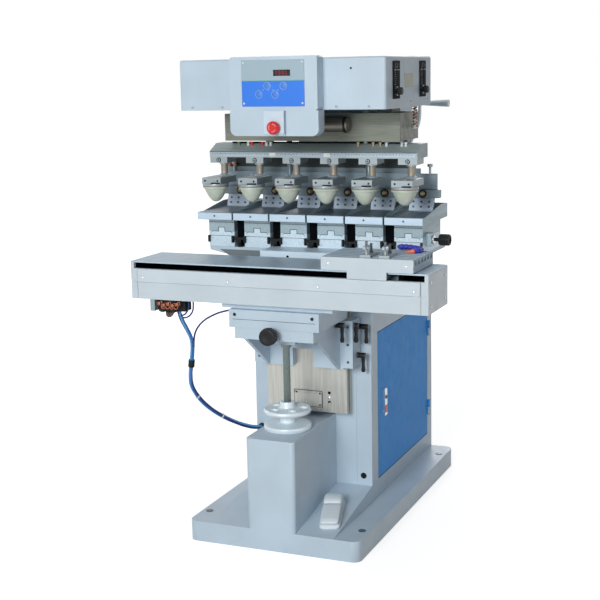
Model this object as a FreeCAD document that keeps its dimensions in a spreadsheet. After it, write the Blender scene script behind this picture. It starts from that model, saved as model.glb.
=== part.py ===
import FreeCAD, Part
import math
import os
import re
import Sketcher

# Six-colour pad printer: a floor-standing machine with a lifting shuttle table in front,
# six ink-tray stations behind it and a sliding pad carriage under a cantilevered head.
# Millimetres. X runs along the table, -Y is the operator's side, Z is up.
# The origin is the centre of the base's footprint, on the floor.

SIZES = {
    # welded base
    "base_width": 614, "base_length": 1090, "base_height": 70, "base_wall": 8, "base_corner": 30,
    "anchor_span_x": 560, "anchor_span_y": 880, "anchor_hole": 18, "anchor_boss": 46, "ramp_rise": 58,
    # pedestal under the handwheel
    "pedestal_width": 172, "pedestal_height": 310, "pedestal_wall": 6, "pedestal_corner": 14,
    # cabinet and its side door
    "cabinet_width": 438, "cabinet_length": 707, "cabinet_height": 810, "cabinet_setback": 4,
    "cabinet_wall": 4, "door_length": 586, "door_height": 531, "door_front": 65, "door_sill": 64,
    "door_depth": 16, "door_skin": 2, "door_gap": 3, "hinge_radius": 5, "hinge_length": 60,
    "latch_width": 24, "latch_length": 99, "latch_depth": 9, "latch_inset": 51,
    "backplate_width": 330, "backplate_height": 520, "backplate_thick": 3, "module_depth": 70,
    # vertical way on the cabinet's front, and the knee that rides on it
    "way_width": 296, "way_thick": 52, "way_height": 465, "way_lift": 15, "way_groove": 16,
    "way_groove_depth": 10, "way_cover_width": 110, "way_cover_height": 52, "way_cover_lift": 12,
    "slide_gap": 0.3, "knee_plate": 30, "knee_height": 176, "knee_top_lift": 355, "saddle_width": 278,
    "saddle_thick": 36, "saddle_front": 272, "gusset_thick": 12, "gusset_spread": 248,
    "gib_width": 34, "gib_depth": 76, "gib_height": 165, "boss_width": 100, "boss_depth": 80,
    "boss_height": 24, "notch_width": 76, "notch_height": 62,
    # lift screw and handwheel
    "screw_forward": 224, "screw_radius": 12, "screw_length": 490, "screw_collar": 17,
    "collar_height": 16, "wheel_radius": 80, "wheel_hub": 26, "wheel_height": 93, "wheel_rim": 16,
    "wheel_spokes": 5, "wheel_gap": 0.4,
    # cross slide between knee and table
    "slide_width": 318, "slide_height": 60, "cap_thick": 12, "rail_width": 150, "rail_flare": 16,
    "rail_height": 22, "rail_back": 16, "pad_plate_width": 392, "pad_plate_thick": 17,
    "knob_radius": 27, "knob_reach": 55, "knob_length": 27, "knob_stem": 8, "cross_travel": 20,
    # shuttle table
    "table_width": 1044, "table_depth": 210, "table_height": 123, "table_wall": 12, "cover_thick": 5,
    "slot_height": 20, "seam_depth": 1.5, "rail_wide": 22, "rail_tall": 22, "screw_head": 5,
    # shuttle
    "shuttle_offset": 326, "shuttle_width": 304, "shuttle_depth": 200, "shuttle_height": 42,
    "shuttle_gap": 2, "apron_thick": 8, "tab_width": 130, "tee_count": 6, "tee_pitch": 32,
    "tee_mouth": 9, "tee_head": 17, "tee_depth": 20, "tee_head_height": 9, "carriage_length": 150,
    "arm_thick": 12,
    # ink-tray stations on the deck
    "station_pitch": 139, "station_width": 100, "station_depth": 207, "station_base": 54,
    "station_top": 101, "key_width": 24, "key_height": 14, "tray_width": 134, "tray_depth": 288,
    "tray_front": 53, "tray_thick": 25, "tray_wall": 4, "tray_back_rise": 48, "well_depth": 12,
    "well_length": 84, "deck_width": 790, "deck_rise": 70, "deck_edge": 13, "deck_waist": 20,
    "fascia_width": 300, "fascia_forward": 108, "fascia_height": 53,
    "fascia_wall": 4,
    # column and head
    "column_width": 320, "column_front": 130, "column_depth": 360, "column_wall": 14,
    "head_width": 718, "head_depth": 476, "head_height": 163, "head_front": 400, "head_rise": 720,
    "head_wall": 4, "head_edge": 8, "shaft_radius": 15, "shaft_spread": 500, "shaft_drop": 120,
    "block_length": 90, "block_width": 52, "end_block": 22,
    # control box, lower panel and emergency stop
    "box_width": 302, "box_depth": 50, "box_height": 169, "box_corner": 10, "panel_width": 216,
    "panel_height": 145, "panel_thick": 2, "lower_width": 306, "lower_height": 80,
    "lower_corner": 22, "rise_width": 66, "rise_depth": 8, "rise_shift": 8, "stop_radius": 21,
    "stop_stem": 11, "stop_lift": 6, "stop_collar": 15,
    # pad carriage
    "beam_width": 642, "beam_depth": 199, "beam_height": 93, "beam_front": 150, "beam_drop": 20,
    "rod_radius": 14, "rod_spread": 360, "tube_radius": 24, "tube_length": 300,
    # pad beam, hangers and pads
    "bar_width": 764, "bar_depth": 113, "bar_face": 21, "bar_height": 46, "bar_bevel": 53,
    "bar_rise": 387, "hanger_width": 66, "hanger_drop": 20, "neck_radius": 12, "neck_length": 47,
    "holder_width": 72, "holder_height": 22, "pad_forward": 72, "flange_radius": 46,
    "flange_thick": 8, "pad_radius": 39, "pad_length": 56, "lip_radius": 44.5, "lip_height": 9,
    # doctor beam
    "doctor_width": 816, "doctor_rise": 242, "doctor_height": 28, "doctor_depth": 30,
    "doctor_plate": 55, "doctor_front": 5, "post_radius": 10, "post_spread": 300, "blade_width": 88,
    "blade_tilt": 14, "blade_clear": 1.5,
    # small controls
    "lever_hub": 9, "lever_length": 58, "foot_length": 190, "foot_width": 70, "foot_height": 46,
    "crank_radius": 148, "crank_drop": 153, "crank_out": 55, "crank_rod": 6, "crank_grip": 98,
    "crank_grip_radius": 14, "slot_long": 118, "slot_wide": 66, "slot_knob": 11,
    # compressed-air lines
    "hose_radius": 8, "sleeve_radius": 11,
}

doc = FreeCAD.newDocument("pad_printer")
sheet = doc.addObject("Spreadsheet::Sheet", "Sizes")
for row, (alias, value) in enumerate(SIZES.items(), start=1):
    sheet.set("A%d" % row, alias)
    sheet.set("B%d" % row, str(value))
    sheet.setAlias("B%d" % row, alias)
doc.recompute()
gauge = doc.addObject("App::FeaturePython", "Gauge")
gauge.addProperty("App::PropertyFloat", "Number")

parts = {}

# Levels that stand on the cabinet, so that they follow its height.
LEVELS = {
    "deck_top": "(base_height + cabinet_height + deck_rise)",
    "head_top": "(base_height + cabinet_height + head_rise)",
    "bar_bottom": "(base_height + cabinet_height + bar_rise)",
    "doctor_bottom": "(base_height + cabinet_height + doctor_rise)",
}
LEVEL_NAMES = r"\b(%s)\b" % "|".join(LEVELS)


def size(alias):
    return float(sheet.get(alias))


def formula(text):
    """A formula in the sheet's aliases and in the shared levels, as FreeCAD wants it."""
    while re.search(LEVEL_NAMES, str(text)):
        text = re.sub(LEVEL_NAMES, lambda m: LEVELS[m.group(0)], str(text))
    names = lambda m: "Sizes." + m.group(0) if m.group(0) in SIZES else m.group(0)
    return re.sub(r"[a-z]\w*", names, str(text))


def value(text):
    """The number that a formula in the sheet's aliases comes to."""
    gauge.setExpression("Number", formula(text))
    gauge.recompute()
    return gauge.Number


def bind(item, prop, text):
    item.setExpression(prop, formula(text))


def place(item, x="0", y="0", z="0"):
    bind(item, "Placement.Base.x", x)
    bind(item, "Placement.Base.y", y)
    bind(item, "Placement.Base.z", z)
    return item


def box(x0, x1, y0, y1, z0, z1):
    item = doc.addObject("Part::Box", "Block")
    bind(item, "Length", "(%s) - (%s)" % (x1, x0))
    bind(item, "Width", "(%s) - (%s)" % (y1, y0))
    bind(item, "Height", "(%s) - (%s)" % (z1, z0))
    return place(item, x0, y0, z0)


TURNS = {
    "x": FreeCAD.Rotation(FreeCAD.Vector(0, 1, 0), 90),
    "y": FreeCAD.Rotation(FreeCAD.Vector(1, 0, 0), -90),
    "z": FreeCAD.Rotation(),
}


def rod(radius, length, x, y, z, along="z"):
    """A cylinder that starts at x, y, z and runs along an axis."""
    item = doc.addObject("Part::Cylinder", "Rod")
    item.Placement = FreeCAD.Placement(FreeCAD.Vector(), TURNS[along])
    bind(item, "Radius", radius)
    bind(item, "Height", length)
    return place(item, x, y, z)


def cone(radius_low, radius_high, length, x, y, z, along="z"):
    item = doc.addObject("Part::Cone", "Taper")
    item.Placement = FreeCAD.Placement(FreeCAD.Vector(), TURNS[along])
    bind(item, "Radius1", radius_low)
    bind(item, "Radius2", radius_high)
    bind(item, "Height", length)
    return place(item, x, y, z)


def fuse(*items):
    item = doc.addObject("Part::MultiFuse", "Joined")
    item.Shapes = list(items)
    item.Refine = True
    return item


def cut(base, *tools):
    for tool in tools:
        item = doc.addObject("Part::Cut", "Cut")
        item.Base = base
        item.Tool = tool
        item.Refine = True
        base = item
    return base


def group(*items):
    item = doc.addObject("Part::Compound", "Group")
    item.Links = list(items)
    return item


def rounded(base, radius, chosen):
    """Rounds the edges that chosen(edge) picks; the radius is the sheet's, in millimetres."""
    doc.recompute()
    item = doc.addObject("Part::Fillet", "Rounded")
    item.Base = base
    picked = [i for i, edge in enumerate(base.Shape.Edges, start=1) if chosen(edge)]
    item.Edges = [(i, radius, radius) for i in picked]
    return item


def upright(edge):
    """True for a straight vertical edge."""
    a, b = edge.Vertexes[0].Point, edge.Vertexes[-1].Point
    return abs(a.x - b.x) < 0.01 and abs(a.y - b.y) < 0.01 and abs(a.z - b.z) > 0.01


def sketch_on(body, plane, points):
    """A closed outline whose corners are held by distances from the plane's origin."""
    sketch = body.newObject("Sketcher::SketchObject", "Outline")
    feature = [f for f in body.Origin.OriginFeatures if f.Role == plane][0]
    sketch.AttachmentSupport = [(feature, "")]
    sketch.MapMode = "FlatFace"
    corners = [FreeCAD.Vector(value(u), value(v), 0) for u, v in points]
    count = len(corners)
    for i, corner in enumerate(corners):
        sketch.addGeometry(Part.LineSegment(corner, corners[(i + 1) % count]), False)
    for i in range(count):
        sketch.addConstraint(Sketcher.Constraint("Coincident", i, 2, (i + 1) % count, 1))
    for i, (u, v) in enumerate(points):
        for kind, text, number in (("DistanceX", u, corners[i].x), ("DistanceY", v, corners[i].y)):
            index = sketch.addConstraint(Sketcher.Constraint(kind, -1, 1, i, 1, number))
            sketch.setExpression("Constraints[%d]" % index, formula(text))
    return sketch


def prism(plane, points, length, x="0", y="0", z="0"):
    """A profile padded along +X, +Y or +Z from its plane."""
    body = doc.addObject("PartDesign::Body", "Profile")
    sketch = sketch_on(body, plane, points)
    pad = body.newObject("PartDesign::Pad", "Pad")
    pad.Profile = sketch
    pad.Reversed = plane == "XZ_Plane"
    bind(pad, "Length", length)
    return place(body, x, y, z)


def turned(points, x="0", y="0", z="0", along="z"):
    """A profile of (radius, height) corners revolved about its axis."""
    body = doc.addObject("PartDesign::Body", "Turned")
    sketch = sketch_on(body, "XZ_Plane", points)
    spin = body.newObject("PartDesign::Revolution", "Spin")
    spin.Profile = sketch
    spin.ReferenceAxis = (sketch, ["V_Axis"])
    spin.Angle = 360
    body.Placement = FreeCAD.Placement(FreeCAD.Vector(), TURNS[along])
    return place(body, x, y, z)


def node(name, item):
    item.Label = name
    parts[name] = item
    return item


# Levels and faces that several pieces share.
BASE_FRONT = "(-base_length / 2)"
BASE_BACK = "(base_length / 2)"
CABINET_BACK = "(base_length / 2 - cabinet_setback)"
CABINET_FRONT = "(base_length / 2 - cabinet_setback - cabinet_length)"
CABINET_SIDE = "(cabinet_width / 2)"
CABINET_TOP = "(base_height + cabinet_height)"
PEDESTAL_TOP = "(base_height + pedestal_height)"
WAY_FRONT = "(%s - way_thick)" % CABINET_FRONT
WAY_BOTTOM = "(%s + way_lift)" % PEDESTAL_TOP
KNEE_TOP = "(%s + knee_top_lift + 1)" % PEDESTAL_TOP
SADDLE_BOTTOM = "(%s - saddle_thick)" % KNEE_TOP
KNEE_BACK = "(%s - slide_gap)" % WAY_FRONT
KNEE_FACE = "(%s - knee_plate)" % KNEE_BACK
KNEE_FRONT = "(%s - saddle_front)" % WAY_FRONT
SCREW_Y = "(%s - screw_forward)" % CABINET_FRONT
SLIDE_BOTTOM = "(%s + slide_gap)" % KNEE_TOP
SLIDE_TOP = "(%s + slide_height)" % SLIDE_BOTTOM
TABLE_BOTTOM = "(%s + pad_plate_thick)" % SLIDE_TOP
TABLE_FRONT = KNEE_FRONT
TABLE_BACK = "(%s + table_depth)" % TABLE_FRONT
COVER_BOTTOM = "(%s + table_height)" % TABLE_BOTTOM
TABLE_TOP = "(%s + cover_thick)" % COVER_BOTTOM
SLOT_BOTTOM = "(%s - slot_height)" % COVER_BOTTOM
SHUTTLE_BOTTOM = "(%s + shuttle_gap)" % TABLE_TOP
SHUTTLE_TOP = "(%s + shuttle_height)" % SHUTTLE_BOTTOM
SHUTTLE_FRONT = "(%s - 5)" % TABLE_FRONT
STATION_FRONT = "(%s + 19)" % CABINET_FRONT
TRAY_BOTTOM = "(deck_top + station_top + slide_gap)"
TRAY_TOP = "(%s + tray_thick)" % TRAY_BOTTOM
TRAY_FRONT = "(%s - tray_front)" % STATION_FRONT
HEAD_BOTTOM = "(head_top - head_height)"
HEAD_BACK = "(head_depth - head_front)"
BEAM_TOP = "(%s - beam_drop)" % HEAD_BOTTOM
BEAM_BOTTOM = "(%s - beam_height)" % BEAM_TOP
SHAFT_Z = "(head_top - shaft_drop)"
BOX_FRONT = "(-head_front - box_depth)"
POST_Y = "(doctor_front + doctor_depth / 2)"
ROD_Y = "(66 - beam_front)"


def build_base():
    skirt = box("-base_width / 2", "base_width / 2", BASE_FRONT, BASE_BACK, "0", "base_height")
    skirt = rounded(skirt, size("base_corner"), upright)
    hollow = box("base_wall - base_width / 2", "base_width / 2 - base_wall", BASE_FRONT + " + base_wall",
                 BASE_BACK + " - base_wall", "0", "base_height - base_wall")
    hollow = rounded(hollow, size("base_corner") - size("base_wall"), upright)
    shell = [cut(skirt, hollow)]
    holes = []
    for side in ("-", "+"):
        for end in ("-", "+"):
            x = "(0 %s anchor_span_x / 2)" % side
            y = "(0 %s anchor_span_y / 2)" % end
            shell.append(rod("anchor_boss / 2", "base_height", x, y, "0"))
            holes.append(rod("anchor_hole / 2", "base_height", x, y, "0"))
        # A ramp runs up each side of the pedestal, from the base's front to the cabinet.
        wedge = [(BASE_FRONT, "base_height"), (CABINET_FRONT, "base_height"),
                 (CABINET_FRONT, "base_height + ramp_rise")]
        low = "pedestal_width / 2" if side == "+" else "-cabinet_width / 2"
        shell.append(prism("YZ_Plane", wedge, "(cabinet_width - pedestal_width) / 2", x=low))
    node("base_plinth", cut(fuse(*shell), *holes))


def build_pedestal():
    outer = box("-pedestal_width / 2", "pedestal_width / 2", BASE_FRONT, CABINET_FRONT,
                "base_height", PEDESTAL_TOP)
    front = value(BASE_FRONT)
    outer = rounded(outer, size("pedestal_corner"),
                    lambda e: upright(e) and abs(e.Vertexes[0].Y - front) < 0.01)
    inner = box("pedestal_wall - pedestal_width / 2", "pedestal_width / 2 - pedestal_wall",
                BASE_FRONT + " + pedestal_wall", CABINET_FRONT, "base_height",
                PEDESTAL_TOP + " - pedestal_wall")
    bore = rod("screw_radius + 1", "pedestal_wall * 3", "0", SCREW_Y, PEDESTAL_TOP + " - pedestal_wall * 2")
    node("pedestal", cut(outer, inner, bore))


DOOR_FRONT = "(%s + door_front)" % CABINET_FRONT
DOOR_BACK = "(%s + door_length)" % DOOR_FRONT
DOOR_SILL = "(base_height + door_sill)"
DOOR_HEAD = "(%s + door_height)" % DOOR_SILL
HINGE_X = "(%s + hinge_radius)" % CABINET_SIDE
HINGE_Y = "(%s + hinge_radius - door_gap)" % DOOR_BACK


def hinge_levels():
    return ["(%s + door_height * 0.15)" % DOOR_SILL, "(%s + door_height * 0.75)" % DOOR_SILL]


def build_cabinet():
    outer = box("-" + CABINET_SIDE, CABINET_SIDE, CABINET_FRONT, CABINET_BACK, "base_height", CABINET_TOP)
    inner = box("cabinet_wall - " + CABINET_SIDE, CABINET_SIDE + " - cabinet_wall",
                CABINET_FRONT + " + cabinet_wall", CABINET_BACK + " - cabinet_wall",
                "base_height + cabinet_wall", CABINET_TOP + " - cabinet_wall")
    doorway = box(CABINET_SIDE + " - cabinet_wall * 2", CABINET_SIDE + " + cabinet_wall", DOOR_FRONT,
                  DOOR_BACK, DOOR_SILL, DOOR_HEAD)
    seam = box("way_width / 2 + 15", "way_width / 2 + 17", CABINET_FRONT + " - 1", CABINET_FRONT + " + 1.5",
               "base_height + ramp_rise", CABINET_TOP)
    shell = [cut(outer, inner, doorway, seam)]
    for level in hinge_levels():
        shell.append(rod("hinge_radius", "hinge_length / 2", HINGE_X, HINGE_Y, level))
        leaf = (CABINET_SIDE, CABINET_SIDE + " + 2", HINGE_Y, HINGE_Y + " + 24", level,
                level + " + hinge_length / 2")
        shell.append(box(*leaf))
    node("cabinet_shell", fuse(*shell))

    pan = box(CABINET_SIDE + " - door_depth", CABINET_SIDE, DOOR_FRONT + " + door_gap",
              DOOR_BACK + " - door_gap", DOOR_SILL + " + door_gap", DOOR_HEAD + " - door_gap")
    inside = box(CABINET_SIDE + " - door_depth - 1", CABINET_SIDE + " - door_skin",
                 DOOR_FRONT + " + door_gap + door_skin", DOOR_BACK + " - door_gap - door_skin",
                 DOOR_SILL + " + door_gap + door_skin", DOOR_HEAD + " - door_gap - door_skin")
    leaves = [cut(pan, inside)]
    for level in hinge_levels():
        upper = level + " + hinge_length / 2 + slide_gap"
        leaves.append(rod("hinge_radius", "hinge_length / 2", HINGE_X, HINGE_Y, upper))
        leaves.append(box(CABINET_SIDE, CABINET_SIDE + " + 2", HINGE_Y + " - 24", HINGE_Y, upper,
                          upper + " + hinge_length / 2"))
    node("side_door", fuse(*leaves))

    # The latch's grip hangs from a pin along its top and swings out.
    low = "(%s + door_height / 2 - latch_length / 2)" % DOOR_SILL
    front = "(%s + latch_inset)" % DOOR_FRONT
    pin = "(latch_depth / 2)"
    grip = box(CABINET_SIDE + " + slide_gap", CABINET_SIDE + " + slide_gap + latch_depth", front,
               front + " + latch_width", low, low + " + latch_length - " + pin)
    foot = value(low) + 1
    grip = rounded(grip, 2.5, lambda e: e.Length < size("latch_width") + 1 and e.CenterOfMass.z < foot)
    barrel = rod(pin, "latch_width", CABINET_SIDE + " + slide_gap + " + pin, front,
                 low + " + latch_length - " + pin, "y")
    node("door_latch", fuse(grip, barrel))

    plate_back = "(%s - 60)" % CABINET_BACK
    plate = box("-backplate_width / 2", "backplate_width / 2", plate_back + " - backplate_thick", plate_back,
                DOOR_SILL, DOOR_SILL + " + backplate_height")
    pieces = [plate]
    for edge in ("-backplate_width / 2 + 10", "backplate_width / 2 - 30"):
        pieces.append(box(edge, edge + " + 20", plate_back, CABINET_BACK + " - cabinet_wall",
                          DOOR_SILL + " + 20", DOOR_SILL + " + backplate_height - 20"))
    for level, left, right in ((0.63, -0.36, 0.18), (0.63, 0.21, 0.38), (0.35, -0.4, 0.4), (0.12, -0.27, 0.12)):
        low = "(%s + backplate_height * %s)" % (DOOR_SILL, level)
        pieces.append(box("backplate_width * (%s)" % left, "backplate_width * %s" % right,
                          plate_back + " - backplate_thick - module_depth", plate_back + " - backplate_thick",
                          low, low + " + backplate_height * 0.17"))
    node("control_backplate", fuse(*pieces))


def build_way():
    half = "way_width / 2"
    block = box("-" + half, half, WAY_FRONT, CABINET_FRONT, WAY_BOTTOM, WAY_BOTTOM + " + way_height")
    grooves = []
    for low, high in (("-way_width / 2 - 1", "way_groove_depth - way_width / 2"),
                      ("way_width / 2 - way_groove_depth", "way_width / 2 + 1")):
        grooves.append(box(low, high, WAY_FRONT + " + way_groove", WAY_FRONT + " + way_groove * 2",
                           WAY_BOTTOM + " - 1", WAY_BOTTOM + " + way_height + 1"))
    cover = box("-way_cover_width / 2", "way_cover_width / 2", WAY_FRONT + " - 3", WAY_FRONT,
                WAY_BOTTOM + " + way_cover_lift", WAY_BOTTOM + " + way_cover_lift + way_cover_height")
    pieces = [cut(block, *grooves), cover]
    for lift, radius in ((14, 4), (30, 6), (46, 4)):
        pieces.append(rod(str(radius), "3", "85", WAY_FRONT + " - 3", WAY_BOTTOM + " + %d" % lift, "y"))
    node("way_slab", fuse(*pieces))


def build_knee():
    half = "saddle_width / 2"
    saddle = box("-" + half, half, KNEE_FRONT, KNEE_BACK, SADDLE_BOTTOM, KNEE_TOP)
    back = box("-(way_width / 2 + slide_gap)", "way_width / 2 + slide_gap", KNEE_FACE, KNEE_BACK,
               KNEE_TOP + " - knee_height", KNEE_TOP)
    rail = [("-rail_width / 2", KNEE_TOP), ("rail_width / 2", KNEE_TOP),
            ("rail_width / 2 + rail_flare", KNEE_TOP + " + rail_height"),
            ("-rail_width / 2 - rail_flare", KNEE_TOP + " + rail_height")]
    start = "(%s + cap_thick + cross_travel + 2)" % KNEE_FRONT
    pieces = [saddle, back, prism("XZ_Plane", rail, "(%s - rail_back) - %s" % (KNEE_BACK, start), y=start)]
    for x in ("-gusset_spread / 2 - gusset_thick", "gusset_spread / 2"):
        web = [(KNEE_FRONT + " + 40", SADDLE_BOTTOM), (KNEE_FACE, KNEE_TOP + " - knee_height"),
               (KNEE_FACE, SADDLE_BOTTOM)]
        pieces.append(prism("YZ_Plane", web, "gusset_thick", x=x))
    pieces.append(box("-boss_width / 2", "boss_width / 2", SCREW_Y + " - boss_depth / 2",
                      SCREW_Y + " + boss_depth / 2", SADDLE_BOTTOM + " - boss_height", SADDLE_BOTTOM))
    bore = rod("knob_stem + slide_gap", "60", "0", KNEE_FRONT, KNEE_TOP + " - 14", "y")
    notch = box("-notch_width / 2", "notch_width / 2", KNEE_FACE + " - 1", KNEE_BACK + " + 1",
                KNEE_TOP + " - knee_height - 1", KNEE_TOP + " - knee_height + notch_height")
    node("knee_bracket", cut(fuse(*pieces), bore, notch))

    gibs = []
    for side in (-1, 1):
        edge = "(%d * (way_width / 2 + slide_gap))" % side
        far = "(%s + %d * gib_width)" % (edge, side)
        low, high = (edge, far) if side > 0 else (far, edge)
        gibs.append(box(low, high, KNEE_FACE, KNEE_FACE + " + gib_depth", KNEE_TOP + " - knee_height + 4",
                        KNEE_TOP + " - knee_height + 4 + gib_height"))
        tongue = "(%d * (way_width / 2 - way_groove_depth + slide_gap))" % side
        low, high = (tongue, edge) if side > 0 else (edge, tongue)
        gibs.append(box(low, high, WAY_FRONT + " + way_groove + slide_gap",
                        WAY_FRONT + " + way_groove * 2 - slide_gap", KNEE_TOP + " - knee_height + 4",
                        KNEE_TOP + " - knee_height + 4 + gib_height"))
    node("knee_gibs", fuse(*gibs))

    top = "(%s - boss_height)" % SADDLE_BOTTOM
    shaft = rod("screw_radius", "screw_length", "0", SCREW_Y, top + " - screw_length")
    collar = rod("screw_collar", "collar_height", "0", SCREW_Y, top + " - collar_height")
    node("lift_screw", fuse(shaft, collar))


def build_handwheel():
    low, high = "wheel_gap", "wheel_height"
    rim_top = "wheel_gap + 70"
    spool = [("screw_radius + slide_gap", low), ("wheel_radius", low), ("wheel_radius", low + " + wheel_rim"),
             ("wheel_hub", low + " + wheel_rim + 6"), ("wheel_hub", rim_top + " - wheel_rim"),
             ("wheel_radius - 4", rim_top + " - wheel_rim"), ("wheel_radius", rim_top + " - wheel_rim / 2"),
             ("wheel_radius - 4", rim_top), ("wheel_hub + 6", rim_top), ("wheel_hub", rim_top + " + 3"),
             ("wheel_hub - 3", high), ("screw_radius + slide_gap", high)]
    wheel = turned(spool, y=SCREW_Y, z=PEDESTAL_TOP)
    windows = []
    count = int(size("wheel_spokes"))
    for i in range(count):
        turn = math.radians(360 / count * i + 20)
        reach = "(wheel_radius + wheel_hub) / 2"
        windows.append(rod("(wheel_radius - wheel_hub) * 0.27", "wheel_rim * 3",
                           "%s * %.6f" % (reach, math.cos(turn)),
                           SCREW_Y + " + %s * %.6f" % (reach, math.sin(turn)),
                           PEDESTAL_TOP + " + wheel_gap + 70 - wheel_rim * 2"))
    node("handwheel", cut(wheel, *windows))


def build_cross_slide():
    cap_back = "(%s + cap_thick)" % TABLE_FRONT
    back = "(%s - rail_back)" % KNEE_BACK
    half = "slide_width / 2"
    block = box("-" + half, half, TABLE_FRONT, back, SLIDE_BOTTOM, SLIDE_TOP)
    wide = "rail_width / 2 + slide_gap"
    groove = [("-(%s) - slide_gap" % wide, SLIDE_BOTTOM + " - 1"),
              (wide + " + slide_gap", SLIDE_BOTTOM + " - 1"),
              (wide + " + rail_flare", KNEE_TOP + " + rail_height + slide_gap"),
              ("-(%s) - rail_flare" % wide, KNEE_TOP + " + rail_height + slide_gap")]
    block = cut(block, prism("XZ_Plane", groove, "%s - %s + 1" % (back, cap_back), y=cap_back))
    plate = box("-pad_plate_width / 2", "pad_plate_width / 2", TABLE_FRONT + " + 25", TABLE_BACK + " - 15",
                SLIDE_TOP, TABLE_BOTTOM)
    screws = [rod("6", "3", x, TABLE_FRONT + " - 3", SLIDE_TOP + " - 16", "y")
              for x in ("-slide_width / 2 + 22", "slide_width / 2 - 22")]
    node("cross_slide", fuse(block, plate, *screws))

    front = "(%s - knob_reach)" % KNEE_FRONT
    grip = rod("knob_radius", "knob_length", "0", front, KNEE_TOP + " - 14", "y")
    stem = rod("knob_stem", "knob_reach + 40 - knob_length", "0", front + " + knob_length", KNEE_TOP + " - 14",
               "y")
    node("cross_knob", fuse(grip, stem))


def build_table():
    half = "table_width / 2"
    inside = half + " - table_wall"
    body = box("-" + half, half, TABLE_FRONT, TABLE_BACK, TABLE_BOTTOM, COVER_BOTTOM)
    hollow = box("-(%s)" % inside, inside, TABLE_FRONT + " + table_wall", TABLE_BACK + " - table_wall",
                 TABLE_BOTTOM + " + table_wall", COVER_BOTTOM + " + 1")
    slot = box("-(%s)" % inside, inside, TABLE_FRONT + " - 1", TABLE_FRONT + " + table_wall + 1", SLOT_BOTTOM,
               COVER_BOTTOM + " + 1")
    seam = box("-" + half, half, TABLE_FRONT + " - 1", TABLE_FRONT + " + seam_depth", SLOT_BOTTOM + " - 46",
               SLOT_BOTTOM + " - 44.5")
    level = SLOT_BOTTOM + " - 31"
    heads = [rod("screw_head", "2.5", "table_width * %s" % share, TABLE_FRONT + " - 2.5", level, "y")
             for share in ("-0.456", "-0.152", "0.152", "0.456")]
    node("table_channel", fuse(cut(body, hollow, slot, seam), *heads))
    node("table_cover", box("-" + half, half, TABLE_FRONT, TABLE_BACK, COVER_BOTTOM, TABLE_TOP))

    floor = TABLE_BOTTOM + " + table_wall"
    middle = "(%s + table_depth / 2)" % TABLE_FRONT
    rail = box("-(%s) + 10" % inside, inside + " - 10", middle + " - rail_wide / 2",
               middle + " + rail_wide / 2", floor, floor + " + rail_tall")
    node("shuttle_rail", rail)

    left = "(shuttle_offset - carriage_length / 2)"
    right = "(shuttle_offset + carriage_length / 2)"
    top = "(%s - 6)" % COVER_BOTTOM
    under = "(%s - arm_thick)" % top
    block = box(left, right, middle + " - 30", middle + " + 30", floor + " + 6", under)
    groove = box(left + " - 1", right + " + 1", middle + " - rail_wide / 2 - slide_gap",
                 middle + " + rail_wide / 2 + slide_gap", floor + " + 5", floor + " + rail_tall + slide_gap")
    arm = box("shuttle_offset - tab_width / 2 + 5", "shuttle_offset + tab_width / 2 - 5", SHUTTLE_FRONT,
              middle + " + 30", under, top)
    node("shuttle_carriage", fuse(cut(block, groove), arm))


def build_shuttle():
    left = "(shuttle_offset - shuttle_width / 2)"
    right = "(shuttle_offset + shuttle_width / 2)"
    back = "(%s + shuttle_depth)" % SHUTTLE_FRONT
    plate = box(left, right, SHUTTLE_FRONT, back, SHUTTLE_BOTTOM, SHUTTLE_TOP)
    tees = []
    for i in range(int(size("tee_count"))):
        y = "(%s + shuttle_depth / 2 + (%d - (tee_count - 1) / 2) * tee_pitch)" % (SHUTTLE_FRONT, i)
        tees.append(box(left + " - 1", right + " + 1", y + " - tee_mouth / 2", y + " + tee_mouth / 2",
                        SHUTTLE_TOP + " - tee_depth", SHUTTLE_TOP + " + 1"))
        tees.append(box(left + " - 1", right + " + 1", y + " - tee_head / 2", y + " + tee_head / 2",
                        SHUTTLE_TOP + " - tee_depth", SHUTTLE_TOP + " - tee_depth + tee_head_height"))
    node("shuttle_plate", cut(plate, *tees))

    front = "(%s - apron_thick)" % SHUTTLE_FRONT
    apron = box(left, right, front, SHUTTLE_FRONT, SHUTTLE_BOTTOM, SHUTTLE_TOP)
    tab = box("shuttle_offset - tab_width / 2", "shuttle_offset + tab_width / 2", front, SHUTTLE_FRONT,
              COVER_BOTTOM + " - 6 - arm_thick", SHUTTLE_BOTTOM)
    node("shuttle_apron", fuse(apron, tab))

    # Each clamp's stud stands in a nut that hangs in the front slot's head.
    clamps = []
    y = "(%s + shuttle_depth / 2 - (tee_count - 1) / 2 * tee_pitch)" % SHUTTLE_FRONT
    nut_low = SHUTTLE_TOP + " - tee_depth + slide_gap"
    nut_half = "(tee_head / 2 - slide_gap)"
    for x in ("(shuttle_offset - 9)", "(shuttle_offset + 53)"):
        clamps.append(box(x + " - 17", x + " + 17", y + " - 14", y + " + 60", SHUTTLE_TOP,
                          SHUTTLE_TOP + " + 8"))
        clamps.append(box(x + " - 9", x + " + 9", y + " - " + nut_half, y + " + " + nut_half, nut_low,
                          nut_low + " + tee_head_height - slide_gap * 2"))
        clamps.append(rod("4", "tee_depth - slide_gap + 30", x, y, nut_low))
        clamps.append(box(x + " - 4", x + " + 4", y + " - 20", y + " + 20", SHUTTLE_TOP + " + 26",
                          SHUTTLE_TOP + " + 36"))
    node("fixture_clamps", fuse(*clamps))


def station_centres():
    return ["((%s) * station_pitch)" % (i - 2.5) for i in range(6)]


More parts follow.
